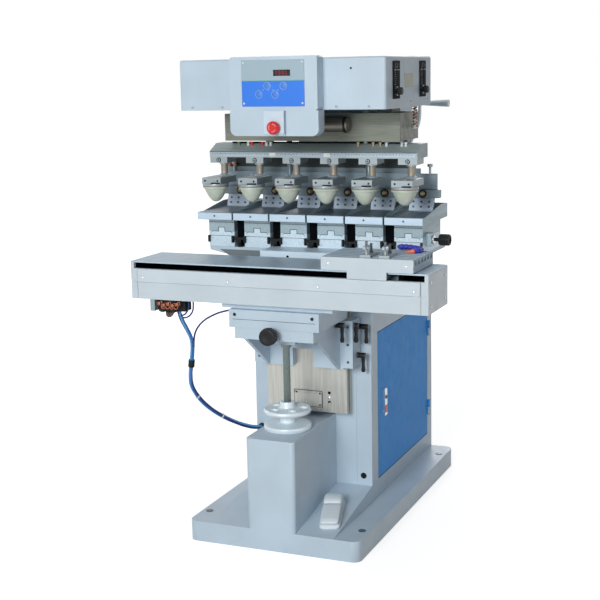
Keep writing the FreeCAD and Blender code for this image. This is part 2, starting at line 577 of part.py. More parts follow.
def build_stations():
    bases = []
    for number, x in enumerate(station_centres(), start=1):
        edge = "station_width / 2"
        foot = [("-" + edge, "deck_top"), (edge, "deck_top"), (edge, "deck_top + station_base"),
                ("key_width / 2", "deck_top + station_base"),
                ("key_width / 2", "deck_top + station_base + key_height"),
                ("-key_width / 2", "deck_top + station_base + key_height"),
                ("-key_width / 2", "deck_top + station_base"), ("-" + edge, "deck_top + station_base")]
        bases.append(prism("XZ_Plane", foot, "station_depth", x=x, y=STATION_FRONT))
        low = "deck_top + station_base + slide_gap"
        gap = "key_width / 2 + slide_gap"
        top = "deck_top + station_top"
        slide = [("-" + edge, low), ("-(%s)" % gap, low), ("-(%s)" % gap, low + " + key_height"),
                 (gap, low + " + key_height"), (gap, low), (edge, low), (edge, top), ("-" + edge, top)]
        upper = prism("XZ_Plane", slide, "station_depth", x=x, y=STATION_FRONT)
        half = "tray_width / 2"
        back = "(%s + tray_depth)" % TRAY_FRONT
        slab = box(x + " - " + half, x + " + " + half, TRAY_FRONT, back, "deck_top + station_top", TRAY_TOP)
        well = box(x + " - %s + tray_wall * 2" % half, x + " + %s - tray_wall * 2" % half,
                   back + " - tray_wall - well_length", back + " - tray_wall * 2", TRAY_TOP + " - well_depth",
                   TRAY_TOP + " + 1")
        wall = [(TRAY_FRONT + " + 40", TRAY_TOP), (back, TRAY_TOP),
                (back, "deck_top + station_top + tray_back_rise"),
                (back + " - well_length", "deck_top + station_top + tray_back_rise")]
        sides = [prism("YZ_Plane", wall, "tray_wall", x=x + " - " + half),
                 prism("YZ_Plane", wall, "tray_wall", x=x + " + %s - tray_wall" % half)]
        end = box(x + " - " + half, x + " + " + half, back + " - tray_wall", back, TRAY_TOP,
                  "deck_top + station_top + tray_back_rise")
        node("station_%d" % number, fuse(cut(slab, well), end, upper, *sides))
    node("station_bases", group(*bases))

    half = "deck_width / 2"
    shape = [("-" + half, "deck_top"), ("-" + half, "deck_top - deck_edge"),
             ("-" + CABINET_SIDE, CABINET_TOP + " + deck_waist"), ("-" + CABINET_SIDE, CABINET_TOP),
             (CABINET_SIDE, CABINET_TOP), (CABINET_SIDE, CABINET_TOP + " + deck_waist"),
             (half, "deck_top - deck_edge"), (half, "deck_top")]
    node("deck_bracket", prism("XZ_Plane", shape, "column_front - " + STATION_FRONT, y=STATION_FRONT))

    front = "(%s - fascia_forward)" % STATION_FRONT
    outer = box("-fascia_width / 2", "fascia_width / 2", front, STATION_FRONT, "deck_top + 8 - fascia_height",
                "deck_top + 8")
    inner = box("fascia_wall - fascia_width / 2", "fascia_width / 2 - fascia_wall", front + " + fascia_wall",
                STATION_FRONT, "deck_top + 7 - fascia_height", "deck_top + 8 - fascia_wall")
    node("deck_fascia", cut(outer, inner))

    end = "(2.5 * station_pitch + station_width / 2)"
    y = "(%s + 52)" % STATION_FRONT
    level = "(deck_top + 44)"
    bracket = box(end, end + " + 18", y + " - 16", y + " + 16", level + " - 22", level + " + 22")
    bracket = cut(bracket, rod("6 + slide_gap", "40", end + " - 10", y, level, "x"))
    node("knob_bracket", bracket)
    stem = rod("6", "42", end + " + 1", y, level, "x")
    grip = rod("18", "36", end + " + 43", y, level, "x")
    node("station_knob", fuse(stem, grip))


def build_column():
    back = "(column_front + column_depth)"
    side = [("column_front", CABINET_TOP), ("column_front", HEAD_BOTTOM), (HEAD_BACK, HEAD_BOTTOM + " + 13"),
            (HEAD_BACK, "head_top - 20"), ("column_front + 150", "head_top - 20"),
            (back, HEAD_BOTTOM + " + 40"), (back, CABINET_TOP)]
    outer = prism("YZ_Plane", side, "column_width", x="-column_width / 2")
    inner = box("column_wall - column_width / 2", "column_width / 2 - column_wall",
                "column_front + column_wall", back + " - column_wall", CABINET_TOP + " - 1",
                HEAD_BOTTOM + " - 40")
    node("column", cut(outer, inner))


def build_head():
    half = "head_width / 2"
    outer = box("-" + half, half, "-head_front", HEAD_BACK, HEAD_BOTTOM, "head_top")
    outer = rounded(outer, size("head_edge"), lambda e: e.CenterOfMass.z > value(HEAD_BOTTOM) + 1)
    inner = box("head_wall - " + half, half + " - head_wall", "head_wall - head_front",
                HEAD_BACK + " - head_wall", HEAD_BOTTOM + " - 1", "head_top - head_wall")
    node("head_housing", cut(outer, inner))

    pieces = []
    for side in ("-", "+"):
        x = "(0 %s shaft_spread / 2)" % side
        start = "(head_wall - head_front)"
        run = "(head_depth - head_wall * 2)"
        pieces.append(rod("shaft_radius", run, x, start, SHAFT_Z, "y"))
        for y in (start, "(%s - head_wall - end_block)" % HEAD_BACK):
            pieces.append(box(x + " - block_width / 2", x + " + block_width / 2", y, y + " + end_block",
                              SHAFT_Z + " - 26", "head_top - head_wall"))
    node("guide_shafts", fuse(*pieces))

    boxes = box("-box_width / 2", "box_width / 2", BOX_FRONT, "-head_front", HEAD_BOTTOM,
                HEAD_BOTTOM + " + box_height")
    middle = value("-head_front - box_depth / 2")
    boxes = rounded(boxes, size("box_corner"), lambda e: abs(e.CenterOfMass.y - middle) < 0.01)
    node("control_box", boxes)
    low = "(%s + 13)" % HEAD_BOTTOM
    node("control_panel", box("-panel_width / 2", "panel_width / 2", BOX_FRONT + " - panel_thick", BOX_FRONT,
                              low, low + " + panel_height"))

    low = "(%s - lower_height)" % HEAD_BOTTOM
    panel = box("-lower_width / 2", "lower_width / 2", BOX_FRONT, "-head_front", low, HEAD_BOTTOM)
    bottom = value(low)
    panel = rounded(panel, size("lower_corner"),
                    lambda e: abs(e.CenterOfMass.z - bottom) < 0.01 and abs(e.CenterOfMass.x) > 50)
    rise = box("rise_shift - rise_width / 2", "rise_shift + rise_width / 2", BOX_FRONT + " - rise_depth",
               BOX_FRONT, low + " + 4", HEAD_BOTTOM)
    edge = "rise_shift + rise_width / 2 + 1"
    seam = box(edge, edge + " + 2", BOX_FRONT + " - 1", BOX_FRONT + " + 2", low, HEAD_BOTTOM)
    level = "(%s + 27)" % low
    collar = rod("stop_collar", "4", "rise_shift", BOX_FRONT + " - rise_depth - 4", level, "y")
    bore = rod("stop_stem + slide_gap", "30", "rise_shift", BOX_FRONT + " - rise_depth - 6", level, "y")
    node("lower_panel", cut(fuse(cut(panel, seam), rise, collar), bore))
    cap = [("0", "0"), ("stop_radius - 5", "0"), ("stop_radius", "4"), ("stop_radius", "9"),
           ("stop_stem", "13"), ("stop_stem", "30"), ("0", "30")]
    node("emergency_stop", turned(cap, x="rise_shift", y=BOX_FRONT + " - rise_depth - 4 - 13 - stop_lift",
                                  z=level, along="y"))

    slots = []
    for y, name in (("(97 - head_front)", "front_stroke_knob"), ("(374 - head_front)", "rear_stroke_knob")):
        x = "head_width / 2"
        low = "(%s + 30)" % HEAD_BOTTOM
        plate = box(x, x + " + 3", y + " - slot_wide / 2", y + " + slot_wide / 2", low, low + " + slot_long")
        slots.append(cut(plate, box(x + " + 1", x + " + 4", y + " - 2.5", y + " + 2.5", low + " + 8",
                                    low + " + slot_long - 8")))
        knob = rod("slot_knob", "16", x + " + 5", y, low + " + 24", "x")
        stem = rod("2.2", "4", x + " + 1.3", y, low + " + 24", "x")
        node(name, fuse(knob, stem))
    node("stroke_slots", group(*slots))


def build_carriage():
    half = "beam_width / 2"
    back = "(beam_depth - beam_front)"
    beam = box("-" + half, half, "-beam_front", back, BEAM_BOTTOM, BEAM_TOP)
    pieces = [beam]
    bores = []
    for side in ("-", "+"):
        x = "(0 %s shaft_spread / 2)" % side
        pieces.append(box(x + " - block_width / 2", x + " + block_width / 2", "-block_length - 10", "-10",
                          BEAM_TOP, SHAFT_Z + " + 26"))
        bores.append(rod("shaft_radius + slide_gap", "block_length + 4", x, "-block_length - 12", SHAFT_Z, "y"))
        bores.append(rod("rod_radius + slide_gap", "beam_height + 2", "(0 %s rod_spread / 2)" % side, ROD_Y,
                         BEAM_BOTTOM + " - 1"))
        bores.append(rod("post_radius + slide_gap", "beam_height + 2", "(0 %s post_spread / 2)" % side, POST_Y,
                         BEAM_BOTTOM + " - 1"))
    node("carriage_beam", cut(fuse(*pieces), *bores))
    y = "(-beam_front - tube_radius - 2)"
    level = "(%s + beam_height * 0.6)" % BEAM_BOTTOM
    tube = [rod("tube_radius", "tube_length", "-tube_length / 2", y, level, "x")]
    for x in ("-tube_length / 2 + 30", "tube_length / 2 - 50"):
        tube.append(box(x, x + " + 20", y, "-beam_front", level + " - 14", level + " + 14"))
    node("thrust_cylinder", fuse(*tube))


def build_pads():
    face = "-beam_front - 3"
    top = "(bar_bottom + bar_height)"
    shape = [(face, "bar_bottom"), (face + " + bar_depth", "bar_bottom"), (face + " + bar_depth", top),
             (face + " + bar_bevel", top), (face, "bar_bottom + bar_face")]
    bar = prism("YZ_Plane", shape, "bar_width", x="-bar_width / 2")
    rods = [rod("rod_radius", "150", "(0 %s rod_spread / 2)" % side, ROD_Y, top) for side in ("-", "+")]
    node("pad_beam", fuse(bar, *rods))

    hangers = []
    pads = []
    neck_y = "(-beam_front - 3 + 43)"
    pad_y = "(%s - pad_forward)" % neck_y
    for x in station_centres():
        clamp_low = "(bar_bottom - hanger_drop)"
        holder_top = "(%s - neck_length)" % clamp_low
        holder_low = "(%s - holder_height)" % holder_top
        clamp = box(x + " - hanger_width / 2", x + " + hanger_width / 2", face, neck_y + " + 30", clamp_low,
                    "bar_bottom")
        screw = rod("5.5", "3", x, face + " - 3", clamp_low + " + 10", "y")
        neck = rod("neck_radius", "neck_length", x, neck_y, holder_top)
        holder = box(x + " - holder_width / 2", x + " + holder_width / 2", pad_y + " - 34", neck_y + " + 20",
                     holder_low, holder_top)
        disc = rod("flange_radius", "flange_thick", x, pad_y, holder_low + " - flange_thick")
        hangers.append(fuse(clamp, screw, neck, holder, disc))
        shoulder = "(pad_length - lip_height - 2)"
        bulge = [("0", "0"), ("pad_radius * 0.34", "pad_length * 0.11"),
                 ("pad_radius * 0.64", "pad_length * 0.28"), ("pad_radius * 0.87", "pad_length * 0.5"),
                 ("pad_radius", shoulder), ("lip_radius", shoulder + " + 2"),
                 ("lip_radius + 0.5", "pad_length"), ("0", "pad_length")]
        pads.append(turned(bulge, x=x, y=pad_y, z=holder_low + " - flange_thick - pad_length"))
    node("pad_hangers", group(*hangers))
    node("print_pads", group(*pads))


def build_doctor():
    y0 = "doctor_front"
    half = "doctor_width / 2"
    top = "(doctor_bottom + doctor_height)"
    bar = box("-" + half, half, y0, y0 + " + doctor_depth", "doctor_bottom", top)
    plate = box("-%s + 10" % half, half + " - 10", y0 + " + 12", y0 + " + 20", top, top + " + doctor_plate")
    # The posts stop just inside the carriage, so that they clear the column when the beam lifts.
    posts = [rod("post_radius", "%s - 2 - %s" % (BEAM_TOP, top), "(0 %s post_spread / 2)" % side, POST_Y, top)
             for side in ("-", "+")]
    node("doctor_beam", fuse(bar, plate, *posts))
    blades = []
    tip = "(%s + blade_clear)" % TRAY_TOP
    for x in station_centres():
        shape = [(y0 + " - blade_tilt", tip), (y0 + " - blade_tilt + 3", tip), (y0 + " + 14", "doctor_bottom"),
                 (y0, "doctor_bottom")]
        blades.append(prism("YZ_Plane", shape, "blade_width", x=x + " - blade_width / 2"))
    node("blade_holders", group(*blades))


def build_levers():
    side = "(way_width / 2 + slide_gap + gib_width)"
    places = (
        ("saddle_lever", "saddle_width / 2 + slide_gap", KNEE_FACE + " - 52", KNEE_TOP + " - 12", "34"),
        ("upper_gib_lever", side + " + slide_gap", KNEE_FACE + " + 14", KNEE_TOP + " - 24", "16"),
        ("middle_gib_lever", side + " + slide_gap", KNEE_FACE + " + 52", KNEE_TOP + " - 34", "38"),
        ("lower_gib_lever", side + " + slide_gap", KNEE_FACE + " + 42", KNEE_TOP + " - 132", "30"),
    )
    for name, x, y, z, reach in places:
        hub = rod("lever_hub", reach, x, y, z, "x")
        end = "(%s + %s - 8)" % (x, reach)
        arm = cone("5", "6.5", "lever_length", end, y, z + " - lever_length")
        node(name, fuse(hub, arm))


def build_foot_pedal():
    slope = math.atan2(size("ramp_rise"), value(CABINET_FRONT) - value(BASE_FRONT))
    half = size("foot_width") / 2
    reach = size("foot_length") / 2
    rise = size("foot_height")
    frame = FreeCAD.Placement(
        FreeCAD.Vector(value("pedestal_width / 2 + 72"), value(BASE_FRONT) + 150,
                       size("base_height") + math.tan(slope) * 150 + 0.3),
        FreeCAD.Rotation(FreeCAD.Vector(1, 0, 0), math.degrees(slope))
        * FreeCAD.Rotation(FreeCAD.Vector(0, 0, 1), 15))
    pivot = FreeCAD.Vector(0, reach - 82, 20)
    across = FreeCAD.Vector(1, 0, 0)
    base = Part.makeBox(2 * half, 2 * reach, 12, FreeCAD.Vector(-half, -reach, 0))
    hood = Part.makeBox(2 * half - 8, 72, rise - 12, FreeCAD.Vector(4 - half, reach - 74, 12))
    pin = Part.makeCylinder(2.5, 2 * half, pivot - across * half, across)
    base = base.fuse([hood, pin])
    for x in (-half, half - 3):
        base = base.fuse(Part.makeBox(3, 12, 14, FreeCAD.Vector(x, pivot.y - 6, 12)))
    outline = [FreeCAD.Vector(3.5 - half, y, z) for y, z in
               ((-reach + 3, 18), (-reach + 3, 24), (pivot.y + 2, rise - 14), (pivot.y + 5, pivot.z),
                (pivot.y, pivot.z - 6))]
    treadle = Part.Face(Part.makePolygon(outline + outline[:1])).extrude(across * (2 * half - 7))
    treadle = treadle.cut(Part.makeCylinder(2.8, 2 * half, pivot - across * half, across))
    for name, shape in (("pedal_base", base), ("pedal_treadle", treadle)):
        item = doc.addObject("Part::Feature", "Pedal")
        item.Shape = shape.removeSplitter()
        item.Placement = frame
        node(name, item)


def build_crank():
    # A bent rod: it leaves the column's side, slants up and out, stands, and carries a tapered grip.
    side = value("column_width / 2")
    y = value("column_front + column_depth - 85")
    z = value("head_top - head_height - crank_drop")
    top = z + size("crank_radius")
    out = side + size("crank_out")
    route = ((side + size("slide_gap"), y, z), (side + 18, y, z), (out, y, z + size("crank_radius") * 0.56),
             (out, y, top), (out + 30, y, top))
    rod_shape = tube(route, size("crank_rod"))[0]
    grip = Part.makeCone(size("crank_rod") + 2, size("crank_grip_radius"), size("crank_grip"),
                         FreeCAD.Vector(out + 14, y, top), FreeCAD.Vector(1, 0, 0))
    item = doc.addObject("Part::Feature", "Crank")
    item.Shape = rod_shape.fuse(grip).removeSplitter()
    node("stroke_crank", item)


def tube(route, radius):
    """A round tube along straight runs joined by tangent arcs; returns its shape and its radii."""
    points = [FreeCAD.Vector(*p) for p in route]
    edges = []
    radii = []
    start = points[0]
    for before, corner, after in zip(points, points[1:], points[2:]):
        a = before - corner
        b = after - corner
        run = min(a.Length, b.Length)
        turn = math.pi - a.getAngle(b)
        bend = 0.45 * run / math.tan(turn / 2)
        radii.append(bend)
        reach = 0.45 * run
        a = FreeCAD.Vector(a).normalize()
        b = FreeCAD.Vector(b).normalize()
        first, last = corner + a * reach, corner + b * reach
        middle = (a + b).normalize()
        depth = math.hypot(bend, reach) - bend
        edges.append(Part.LineSegment(start, first).toShape())
        edges.append(Part.Arc(first, corner + middle * depth, last).toShape())
        start = last
    edges.append(Part.LineSegment(start, points[-1]).toShape())
    path = Part.Wire(edges)
    ring = Part.Wire(Part.makeCircle(radius, points[0], points[1] - points[0]))
    return path.makePipeShell([ring], True, False), path.Length, radii


UPPER_ROUTE = ((-376.4, -430, 768), (-371, -430, 742), (-353, -425, 706), (-339, -416, 666), (-342, -408, 628),
               (-349.6, -401.9, 591.3))
LOWER_ROUTE = ((-354.6, -397.88, 567.14), (-362.61, -391.46, 528.48), (-366, -379, 488), (-352, -358, 446),
               (-328, -332, 408), (-292, -296, 368), (-254, -254, 334), (-222, -214, 314), (-204, -186, 307),
               (-198.5, -164, 304.8))


def build_air():
    block = box("-452", "-340", "-470", "-396", TABLE_BOTTOM + " - 34", TABLE_BOTTOM)
    lower = box("-440", "-352", "-462", "-404", TABLE_BOTTOM + " - 47", TABLE_BOTTOM + " - 34")
    fittings = [rod("6", "26", x, "-470 - 20", TABLE_BOTTOM + " - 20", "y") for x in ("-436", "-412", "-388")]
    node("valve_block", fuse(block, lower, *fittings))
    nozzle = [box("table_width / 2 - 112", "table_width / 2 - 82", TABLE_BACK + " - 12", TABLE_BACK, TABLE_TOP,
                  TABLE_TOP + " + 70")]
    for i in range(6):
        nozzle.append(cone("7", "9", "17", "(table_width / 2 - %d)" % (103 + 17 * i),
                           TABLE_BACK + " - %d" % (6 + 9 * i), TABLE_TOP + " + 62", "x"))
    node("air_nozzle", fuse(*nozzle))
    # Each hose ends flush with the face that it enters.
    valve = Part.makeBox(60, 60, 9, FreeCAD.Vector(-406, -460, value(TABLE_BOTTOM + " - 47")))
    wall = Part.makeBox(60, 9, 60, FreeCAD.Vector(-228, value(CABINET_FRONT), 275))
    for name, route, face in (("upper_hose", UPPER_ROUTE, valve), ("lower_hose", LOWER_ROUTE, wall)):
        shape, length, radii = tube(route, size("hose_radius"))
        shape = shape.cut(face)
        item = doc.addObject("Part::Feature", "Hose")
        item.Shape = shape
        node(name, item)
        section = math.pi * size("hose_radius") ** 2
        print("%s: length %.1f, volume ratio %.4f, bend radii %s" % (
            name, length, shape.Volume / (section * length), [round(r) for r in radii]))
    a, b = FreeCAD.Vector(*UPPER_ROUTE[-1]), FreeCAD.Vector(*LOWER_ROUTE[0])
    item = doc.addObject("Part::Feature", "Sleeve")
    line = (b - a).normalize()
    item.Shape = Part.makeCylinder(size("sleeve_radius"), b.distanceToPoint(a) - 0.1, a + line * 0.05, line)
    node("hose_sleeve", item)


def check_and_write():
    doc.recompute()
    for item in doc.Objects:
        if "Invalid" in item.State or "Error" in item.State:
            raise RuntimeError("%s (%s) failed: %s" % (item.Name, item.Label, item.State))
    os.makedirs("parts", exist_ok=True)
    for name, item in parts.items():
        if item.Shape.isNull() or not item.Shape.isValid() or not item.Shape.Solids:
            raise RuntimeError("%s has no valid solid" % name)
    for name, item in parts.items():
        item.Shape.exportStep("parts/%s.step" % name)
    print("%d nodes, %d solids" % (len(parts), sum(len(p.Shape.Solids) for p in parts.values())))


build_base()
build_pedestal()
build_cabinet()
build_way()
build_knee()
build_handwheel()
build_cross_slide()
build_table()
build_shuttle()
build_stations()
build_column()
build_head()
build_carriage()
build_pads()
build_doctor()
build_levers()
build_foot_pedal()
build_crank()
build_air()
check_and_write()
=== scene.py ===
import math
from itertools import product

import bmesh
import bpy
from mathutils import Matrix, Vector


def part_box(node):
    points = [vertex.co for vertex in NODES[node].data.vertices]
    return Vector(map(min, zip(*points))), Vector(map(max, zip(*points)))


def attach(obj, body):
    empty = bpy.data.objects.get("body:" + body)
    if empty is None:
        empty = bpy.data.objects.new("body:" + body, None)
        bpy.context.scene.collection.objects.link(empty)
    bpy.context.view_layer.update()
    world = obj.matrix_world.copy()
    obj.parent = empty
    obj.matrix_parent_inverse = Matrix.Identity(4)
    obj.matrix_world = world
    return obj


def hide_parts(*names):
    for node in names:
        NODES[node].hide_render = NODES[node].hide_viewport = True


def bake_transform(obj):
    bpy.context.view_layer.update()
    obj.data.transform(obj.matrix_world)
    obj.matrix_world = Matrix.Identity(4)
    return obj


# Looks for a six-colour pad printer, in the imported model's frame: X along the shuttle table, -Y towards
# the operator, Z up, with the origin on the floor. Forms are given in millimetres, routes in metres.

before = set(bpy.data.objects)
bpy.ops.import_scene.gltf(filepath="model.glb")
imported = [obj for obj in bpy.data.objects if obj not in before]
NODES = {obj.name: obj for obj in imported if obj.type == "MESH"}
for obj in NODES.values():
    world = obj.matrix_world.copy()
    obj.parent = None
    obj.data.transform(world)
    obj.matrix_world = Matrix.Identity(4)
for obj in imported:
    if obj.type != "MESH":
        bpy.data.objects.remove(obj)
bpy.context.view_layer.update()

MM = 0.001
AXES = {
    "x": Matrix.Rotation(math.pi / 2, 4, "Y"),
    "-x": Matrix.Rotation(-math.pi / 2, 4, "Y"),
    "y": Matrix.Rotation(-math.pi / 2, 4, "X"),
    "-y": Matrix.Rotation(math.pi / 2, 4, "X"),
    "z": Matrix.Identity(4),
}
FIXED = "machine_frame"
STATION_PITCH = 139
STATIONS = [STATION_PITCH * (i - 2.5) for i in range(6)]
GAPS = [STATION_PITCH * (i - 2) for i in range(5)]

CAMERA_PLACE = (1.6156, -4.0661, 1.5588)
CAMERA_YAW, CAMERA_TILT, CAMERA_ROLL = 0.4019, 0.1829, -0.0196
SENSOR, LENS = 36.0, 74.27


def link(item):
    bpy.context.scene.collection.objects.link(item)
    return item


def make_camera():
    data = bpy.data.cameras.new("camera")
    data.sensor_width = SENSOR
    data.lens = LENS
    camera = link(bpy.data.objects.new("camera", data))
    turn = (Matrix.Rotation(CAMERA_YAW, 4, "Z") @ Matrix.Rotation(math.pi / 2 - CAMERA_TILT, 4, "X")
            @ Matrix.Rotation(CAMERA_ROLL, 4, "Z"))
    camera.matrix_world = Matrix.Translation(CAMERA_PLACE) @ turn
    bpy.context.scene.camera = camera


# ---------------------------------------------------------------- building pieces

def edges_of(name):
    """A node's lowest and highest corners in millimetres."""
    low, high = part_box(name)
    return [v / MM for v in low], [v / MM for v in high]


def middle_of(low, high, axis):
    return (low[axis] + high[axis]) / 2


def circle(count, radius, first=0.0, step=None):
    """Pairs round a circle, from an angle on, in equal steps."""
    step = 2 * math.pi / count if step is None else step
    return [(radius * math.cos(first + step * i), radius * math.sin(first + step * i)) for i in range(count)]


def turn_to(direction):
    """The turn that lays the Z axis along a direction."""
    return Vector(direction).to_track_quat("Z", "Y").to_matrix().to_4x4()


def frames_along(points):
    """Each point with the two directions across the path there."""
    across = None
    for i, point in enumerate(points):
        ahead = (points[min(i + 1, len(points) - 1)] - points[max(i - 1, 0)]).normalized()
        if across is None:
            across = ahead.orthogonal().normalized()
        across = (across - ahead * across.dot(ahead)).normalized()
        yield point, across, ahead.cross(across)


class Shape:
    """One piece's mesh, gathered from blocks, turned forms and tubes. Sizes are in millimetres."""

    def __init__(self):
        self.mesh = bmesh.new()

    def skin(self, rings):
        """Joins rings of corners one after the other and closes both ends. A ring may be one corner."""
        for low, high in zip(rings, rings[1:]):
            sides = max(len(low), len(high))
            for i in range(sides):
                j = (i + 1) % sides
                corners = dict.fromkeys((low[i % len(low)], low[j % len(low)], high[j % len(high)],
                                         high[i % len(high)]))
                if len(corners) > 2:
                    self.mesh.faces.new(tuple(corners))
        for ring in (rings[0], rings[-1]):
            if len(ring) > 1:
                self.mesh.faces.new(ring)
        return self

    def block(self, low, high, turn=Matrix.Identity(4)):
        size = [(b - a) * MM for a, b in zip(low, high)]
        middle = Vector([(a + b) / 2 * MM for a, b in zip(low, high)])
        matrix = Matrix.Translation(middle) @ turn @ Matrix.Diagonal((*size, 1))
        bmesh.ops.create_cube(self.mesh, size=1.0, matrix=matrix)
        return self

    def prism_xz(self, corners, front, back):
        """A flat outline in X and Z with a thickness along Y."""
        return self.skin([[self.mesh.verts.new((x * MM, y * MM, z * MM)) for x, z in corners]
                          for y in (front, back)])

    def loft(self, sections, matrix, sides=28, squareness=5.0):
        """Rounded rectangles along Y, each (y, half width, low, high), joined into one closed form."""
        rings = []
        for y, half, low, high in sections:
            ring = []
            for i in range(sides):
                angle = 2 * math.pi * (i + 0.5) / sides
                c, d = math.cos(angle), math.sin(angle)
                x = half * math.copysign(abs(c) ** (2 / squareness), c)
                z = (low + high) / 2 + (high - low) / 2 * math.copysign(abs(d) ** (2 / squareness), d)
                ring.append(self.mesh.verts.new(matrix @ (Vector((x, y, z)) * MM)))
            rings.append(ring)
        return self.skin(rings)

    def lathe(self, place, profile, axis="z", sides=24, turn=None):
        """Spins (radius, height) pairs about an axis through place."""
        matrix = Matrix.Translation([v * MM for v in place]) @ (AXES[axis] if turn is None else turn)
        rings = []
        for radius, height in profile:
            spots = circle(sides, radius) if radius > 0 else [(0, 0)]
            rings.append([self.mesh.verts.new(matrix @ (Vector((*spot, height)) * MM)) for spot in spots])
        return self.skin(rings)

    def screw(self, place, axis="-y", radius=5.0, height=4.0, turn=None):
        """A socket-head screw that stands out along the axis."""
        profile = ((0, 0.3), (0.5, 0.3), (0.56, 1), (0.86, 1), (1, 0.82), (1, 0))
        return self.lathe(place, [(radius * r, height * h) for r, h in profile], axis, 18, turn)

    def dome(self, place, axis="-y", radius=4.0, height=2.0):
        """A rivet or a pan head."""
        profile = ((0, 1), (0.45, 0.92), (0.8, 0.62), (1, 0.2), (1, 0))
        return self.lathe(place, [(radius * r, height * h) for r, h in profile], axis, 16)

    def tube(self, points, radius, sides=8):
        """A tube along points in metres, closed at both ends."""
        return self.skin([[self.mesh.verts.new(point + (across * c + other * s) * radius)
                           for c, s in circle(sides, 1)] for point, across, other in frames_along(points)])

    def done(self, name, body, mat, slot, soften=0.0, angle=35, stands_for=()):
        """Turns the mesh into a piece that rides on a body, or that stays in place, with no body, when it
        spans two.
        """
        bmesh.ops.recalc_face_normals(self.mesh, faces=self.mesh.faces)
        data = bpy.data.meshes.new(name)
        self.mesh.to_mesh(data)
        self.mesh.free()
        data.materials.append(look(mat))
        for face in data.polygons:
            face.use_smooth = True
        data.set_sharp_from_angle(angle=math.radians(angle))
        item = link(bpy.data.objects.new(name, data))
        if soften:
            edge = item.modifiers.new("edges", "BEVEL")
            edge.width = soften * MM
            edge.segments = 2
            edge.limit_method = "ANGLE"
        if isinstance(body, str):
            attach(item, body)
        else:
            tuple(body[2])
            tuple(body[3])
            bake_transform(item)
        if stands_for:
            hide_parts(*stands_for)
        return item


# ---------------------------------------------------------------- hoses

# The hoses' routes, as the solids have them, and those of the thin lines, which only this script has.
HOSE_DIAMETER, BRANCH_DIAMETER, LOOP_DIAMETER = .016, .0064, .0056
UPPER_ROUTE = ((-.3764, -.430, .768), (-.371, -.430, .742), (-.353, -.425, .706),
               (-.339, -.416, .666), (-.342, -.408, .628), (-.3496, -.4019, .5913))
LOWER_ROUTE = ((-.3546, -.39788, .56714), (-.36261, -.39146, .52848), (-.366, -.379, .488),
               (-.352, -.358, .446), (-.328, -.332, .408), (-.292, -.296, .368), (-.254, -.254, .334),
               (-.222, -.214, .314), (-.204, -.186, .307), (-.1985, -.164, .3048))
BRANCH_ROUTE = ((-.334, -.4125, .640), (-.3325, -.4145, .672), (-.318, -.420, .706), (-.286, -.430, .738),
                (-.243, -.440, .762), (-.203, -.447, .778), (-.160, -.452, .788))
LOOP_ROUTES = (((-.324, -.425, .8125), (-.3235, -.425, .790), (-.326, -.425, .766),
                (-.341, -.426, .748), (-.358, -.428, .742), (-.368, -.429, .744)),
               ((-.339, -.431, .8125), (-.3385, -.431, .794), (-.3396, -.431, .779),
                (-.3455, -.4316, .7645), (-.356, -.4326, .7535), (-.368, -.434, .750)))
UPPER_SPAN = ("knee", "table", UPPER_ROUTE[-1], UPPER_ROUTE[0])
LOWER_SPAN = (FIXED, "knee", LOWER_ROUTE[-1], LOWER_ROUTE[0])
STRAND_LOOKS = ("hose_navy", "hose_mid", "hose_pale")
STRAND_RADIUS, STRAND_OFFSET, STRAND_TWIST = .0041, .0039, 9.0
UPPER_START, LOWER_START = 0.4, 2.2
TIE_SHARES = (0.3, 0.56)


def guide_points(route):
    """The points along the smooth line that has the route's points as its control points."""
    data = bpy.data.curves.new("guide", "CURVE")
    data.dimensions = "3D"
    data.resolution_u = 12
    spline = data.splines.new("NURBS")
    spline.points.add(len(route) - 1)
    for point, place in zip(spline.points, route):
        point.co = (*place, 1.0)
    spline.order_u = 3
    spline.use_endpoint_u = True
    guide = link(bpy.data.objects.new("guide", data))
    bpy.context.view_layer.update()
    mesh = bpy.data.meshes.new_from_object(guide)
    points = [v.co.copy() for v in mesh.vertices]
    bpy.data.meshes.remove(mesh)
    bpy.data.objects.remove(guide)
    return points


def length_of(points):
    return sum((b - a).length for a, b in zip(points, points[1:]))


def strand_along(points, offset, start, twist):
    """A line that winds about the path, twist radians for each metre."""
    line = []
    gone = 0.0
    for i, (point, across, other) in enumerate(frames_along(points)):
        if i:
            gone += (point - points[i - 1]).length
        angle = start + twist * gone
        line.append(point + (across * math.cos(angle) + other * math.sin(angle)) * offset)
    return line


def make_hoses():
    """Two bundles of three air tubes each meet in the black sleeve."""
    for name, route, span, first in (("upper_air_line", UPPER_ROUTE, UPPER_SPAN, UPPER_START),
                                     ("lower_air_line", LOWER_ROUTE, LOWER_SPAN, LOWER_START)):
        points = guide_points(route)
        bundle = Shape()
        for i in range(3):
            bundle.tube(strand_along(points, STRAND_OFFSET, first + i * 2 * math.pi / 3, STRAND_TWIST),
                        STRAND_RADIUS, 10)
        faces = len(bundle.mesh.faces) // 3
        item = bundle.done(name, span, STRAND_LOOKS[0], "hose_blue", angle=60,
                           stands_for=(name.replace("air_line", "hose"),))
        for extra in STRAND_LOOKS[1:]:
            item.data.materials.append(look(extra))
        for face in item.data.polygons:
            face.material_index = min(face.index // faces, 2)
        ties = []
        if span == LOWER_SPAN:
            ties = [tie_on(points, share, "hose_tie_%d" % number, span)
                    for number, share in enumerate(TIE_SHARES, start=1)] + [NODES["hose_sleeve"]]
        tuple(points[0])
        length_of(points)
    make_branch()
    for number, route in enumerate(LOOP_ROUTES, start=1):
        thin_tube("loop_air_line_%d" % number, route, LOOP_DIAMETER, "table")


